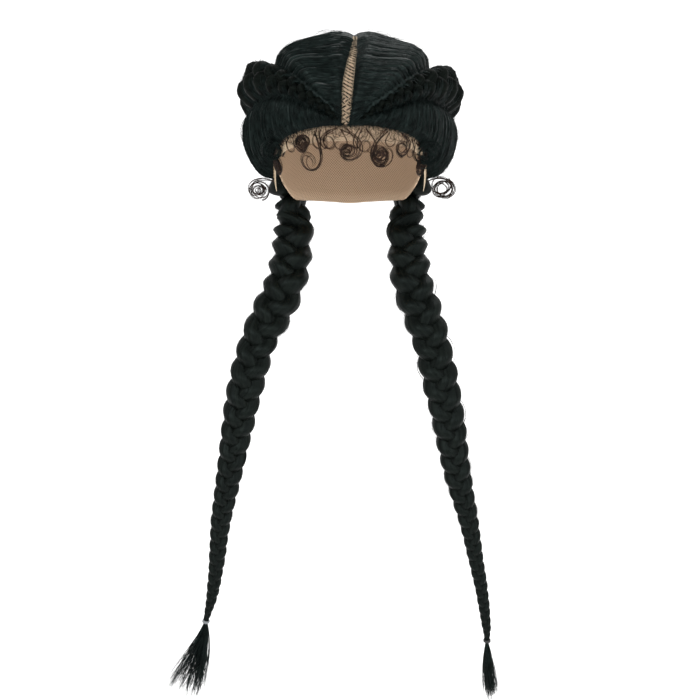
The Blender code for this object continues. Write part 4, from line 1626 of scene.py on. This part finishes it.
class WIG_OT_cap(bpy.types.Operator):
    """Sew the stretch cap that carries the hair."""

    bl_idname = "wig.cap"
    bl_label = "Cap"

    def execute(self, context):
        settings = context.scene.wig_lace
        columns, rows = CAP_COLUMNS, CAP_ROWS
        points, faces, flows = [], [], []
        marks = []
        for height in (0, CAP_WALL):
            points.append(on_head(Vector((0, 0, 1)), height))
            marks.append((0, 0))
            for row in range(1, rows + 1):
                for column in range(columns):
                    azimuth = 360 * column / columns
                    drop = (90 - rim_row(azimuth).elevation) * row / rows
                    points.append(on_head(direction(azimuth, 90 - drop), height))
                    marks.append((drop * CAP_FLOW[0], azimuth * CAP_FLOW[1]))
        top = 1 + rows * columns

        def add(corners):
            faces.append(tuple(corners))
            flows.extend(marks[corner] for corner in corners)

        for column in range(columns):
            after = (column + 1) % columns
            add([0, 1 + after, 1 + column])
            add([top, top + 1 + column, top + 1 + after])
            for row in range(rows - 1):
                upper = 1 + row * columns
                lower = upper + columns
                add([upper + column, upper + after, lower + after, lower + column])
                add([top + upper + column, top + lower + column, top + lower + after, top + upper + after])
            rim = 1 + (rows - 1) * columns
            add([rim + column, rim + after, top + rim + after, top + rim + column])
        finish = net_finish("stretch net", settings.cap_colour, CAP_NET_PITCH)
        claim(add_body("stretch_cap", points, faces, flows, finish), "cap_net", "cap")
        return {"FINISHED"}


class WIG_OT_stage(bpy.types.Operator):
    """Set the floor, the lights and the camera."""

    bl_idname = "wig.stage"
    bl_label = "Stage"

    def execute(self, context):
        scene = context.scene
        floor_height = CAD_BOX[0][2] - FLOOR_DROP
        half = FLOOR_HALF
        mesh = bpy.data.meshes.new("floor")
        corners = [(-half, -half), (half, -half), (half, half), (-half, half)]
        mesh.from_pydata([(x, y, floor_height) for x, y in corners], [], [(0, 1, 2, 3)])
        floor = bpy.data.objects.new("floor", mesh)
        scene.collection.objects.link(floor)
        material, shader, _, fill = base_material("pale floor")
        fill(shader, Base_Color=(0.97, 0.97, 0.97, 1), Roughness=0.9, Specular_IOR_Level=0.1)
        mesh.materials.append(material)

        world = bpy.data.worlds.new("studio")
        world.use_nodes = True
        background = world.node_tree.nodes["Background"]
        background.inputs["Color"].default_value = (1, 1, 1, 1)
        background.inputs["Strength"].default_value = 1.0
        scene.world = world

        for name, place, size, power in LIGHTS:
            light = bpy.data.lights.new(name, "AREA")
            light.size = size
            light.energy = power
            lamp = bpy.data.objects.new(name, light)
            lamp.location = place
            aim = LIGHT_AIM - Vector(place)
            lamp.rotation_euler = aim.to_track_quat("-Z", "Y").to_euler()
            scene.collection.objects.link(lamp)

        camera = bpy.data.cameras.new("camera")
        camera.lens = CAMERA_LENS
        camera.sensor_width = CAMERA_SENSOR
        camera.clip_end = 50
        viewer = bpy.data.objects.new("camera", camera)
        viewer.location = CAMERA_PLACE
        viewer.rotation_euler = (math.radians(90 - CAMERA_TILT), 0, 0)
        scene.collection.objects.link(viewer)
        scene.camera = viewer
        scene.view_settings.view_transform = "Standard"
        return {"FINISHED"}


class WIG_PT_panel(bpy.types.Panel):
    """The wig's pieces and the sizes that can be changed."""

    bl_idname = "WIG_PT_panel"
    bl_label = "Braid wig"
    bl_space_type = "VIEW_3D"
    bl_region_type = "UI"
    bl_category = "Wig"

    def draw(self, context):
        for group in (context.scene.wig_hair, context.scene.wig_lace):
            box = self.layout.box()
            for key in group.__annotations__:
                box.prop(group, key)
        for operator in OPERATORS:
            self.layout.operator(operator.bl_idname)


OPERATORS = (
    WIG_OT_stage,
    WIG_OT_cap,
    WIG_OT_lace,
    WIG_OT_combed_hair,
    WIG_OT_head_braids,
    WIG_OT_plaits,
    WIG_OT_ties,
    WIG_OT_tassels,
    WIG_OT_baby_hair,
)
CLASSES = (HairSettings, LaceSettings, *OPERATORS, WIG_PT_panel)


def register():
    for item in CLASSES:
        bpy.utils.register_class(item)
    bpy.types.Scene.wig_hair = bpy.props.PointerProperty(type=HairSettings)
    bpy.types.Scene.wig_lace = bpy.props.PointerProperty(type=LaceSettings)


def unregister():
    del bpy.types.Scene.wig_lace
    del bpy.types.Scene.wig_hair
    for item in reversed(CLASSES):
        bpy.utils.unregister_class(item)


def main():
    register()
    bpy.ops.wig.stage()
    bpy.ops.wig.cap()
    bpy.ops.wig.lace()
    bpy.ops.wig.combed_hair()
    bpy.ops.wig.head_braids()
    bpy.ops.wig.plaits()
    bpy.ops.wig.ties()
    bpy.ops.wig.tassels()
    bpy.ops.wig.baby_hair()


if __name__ == "__main__":
    main()
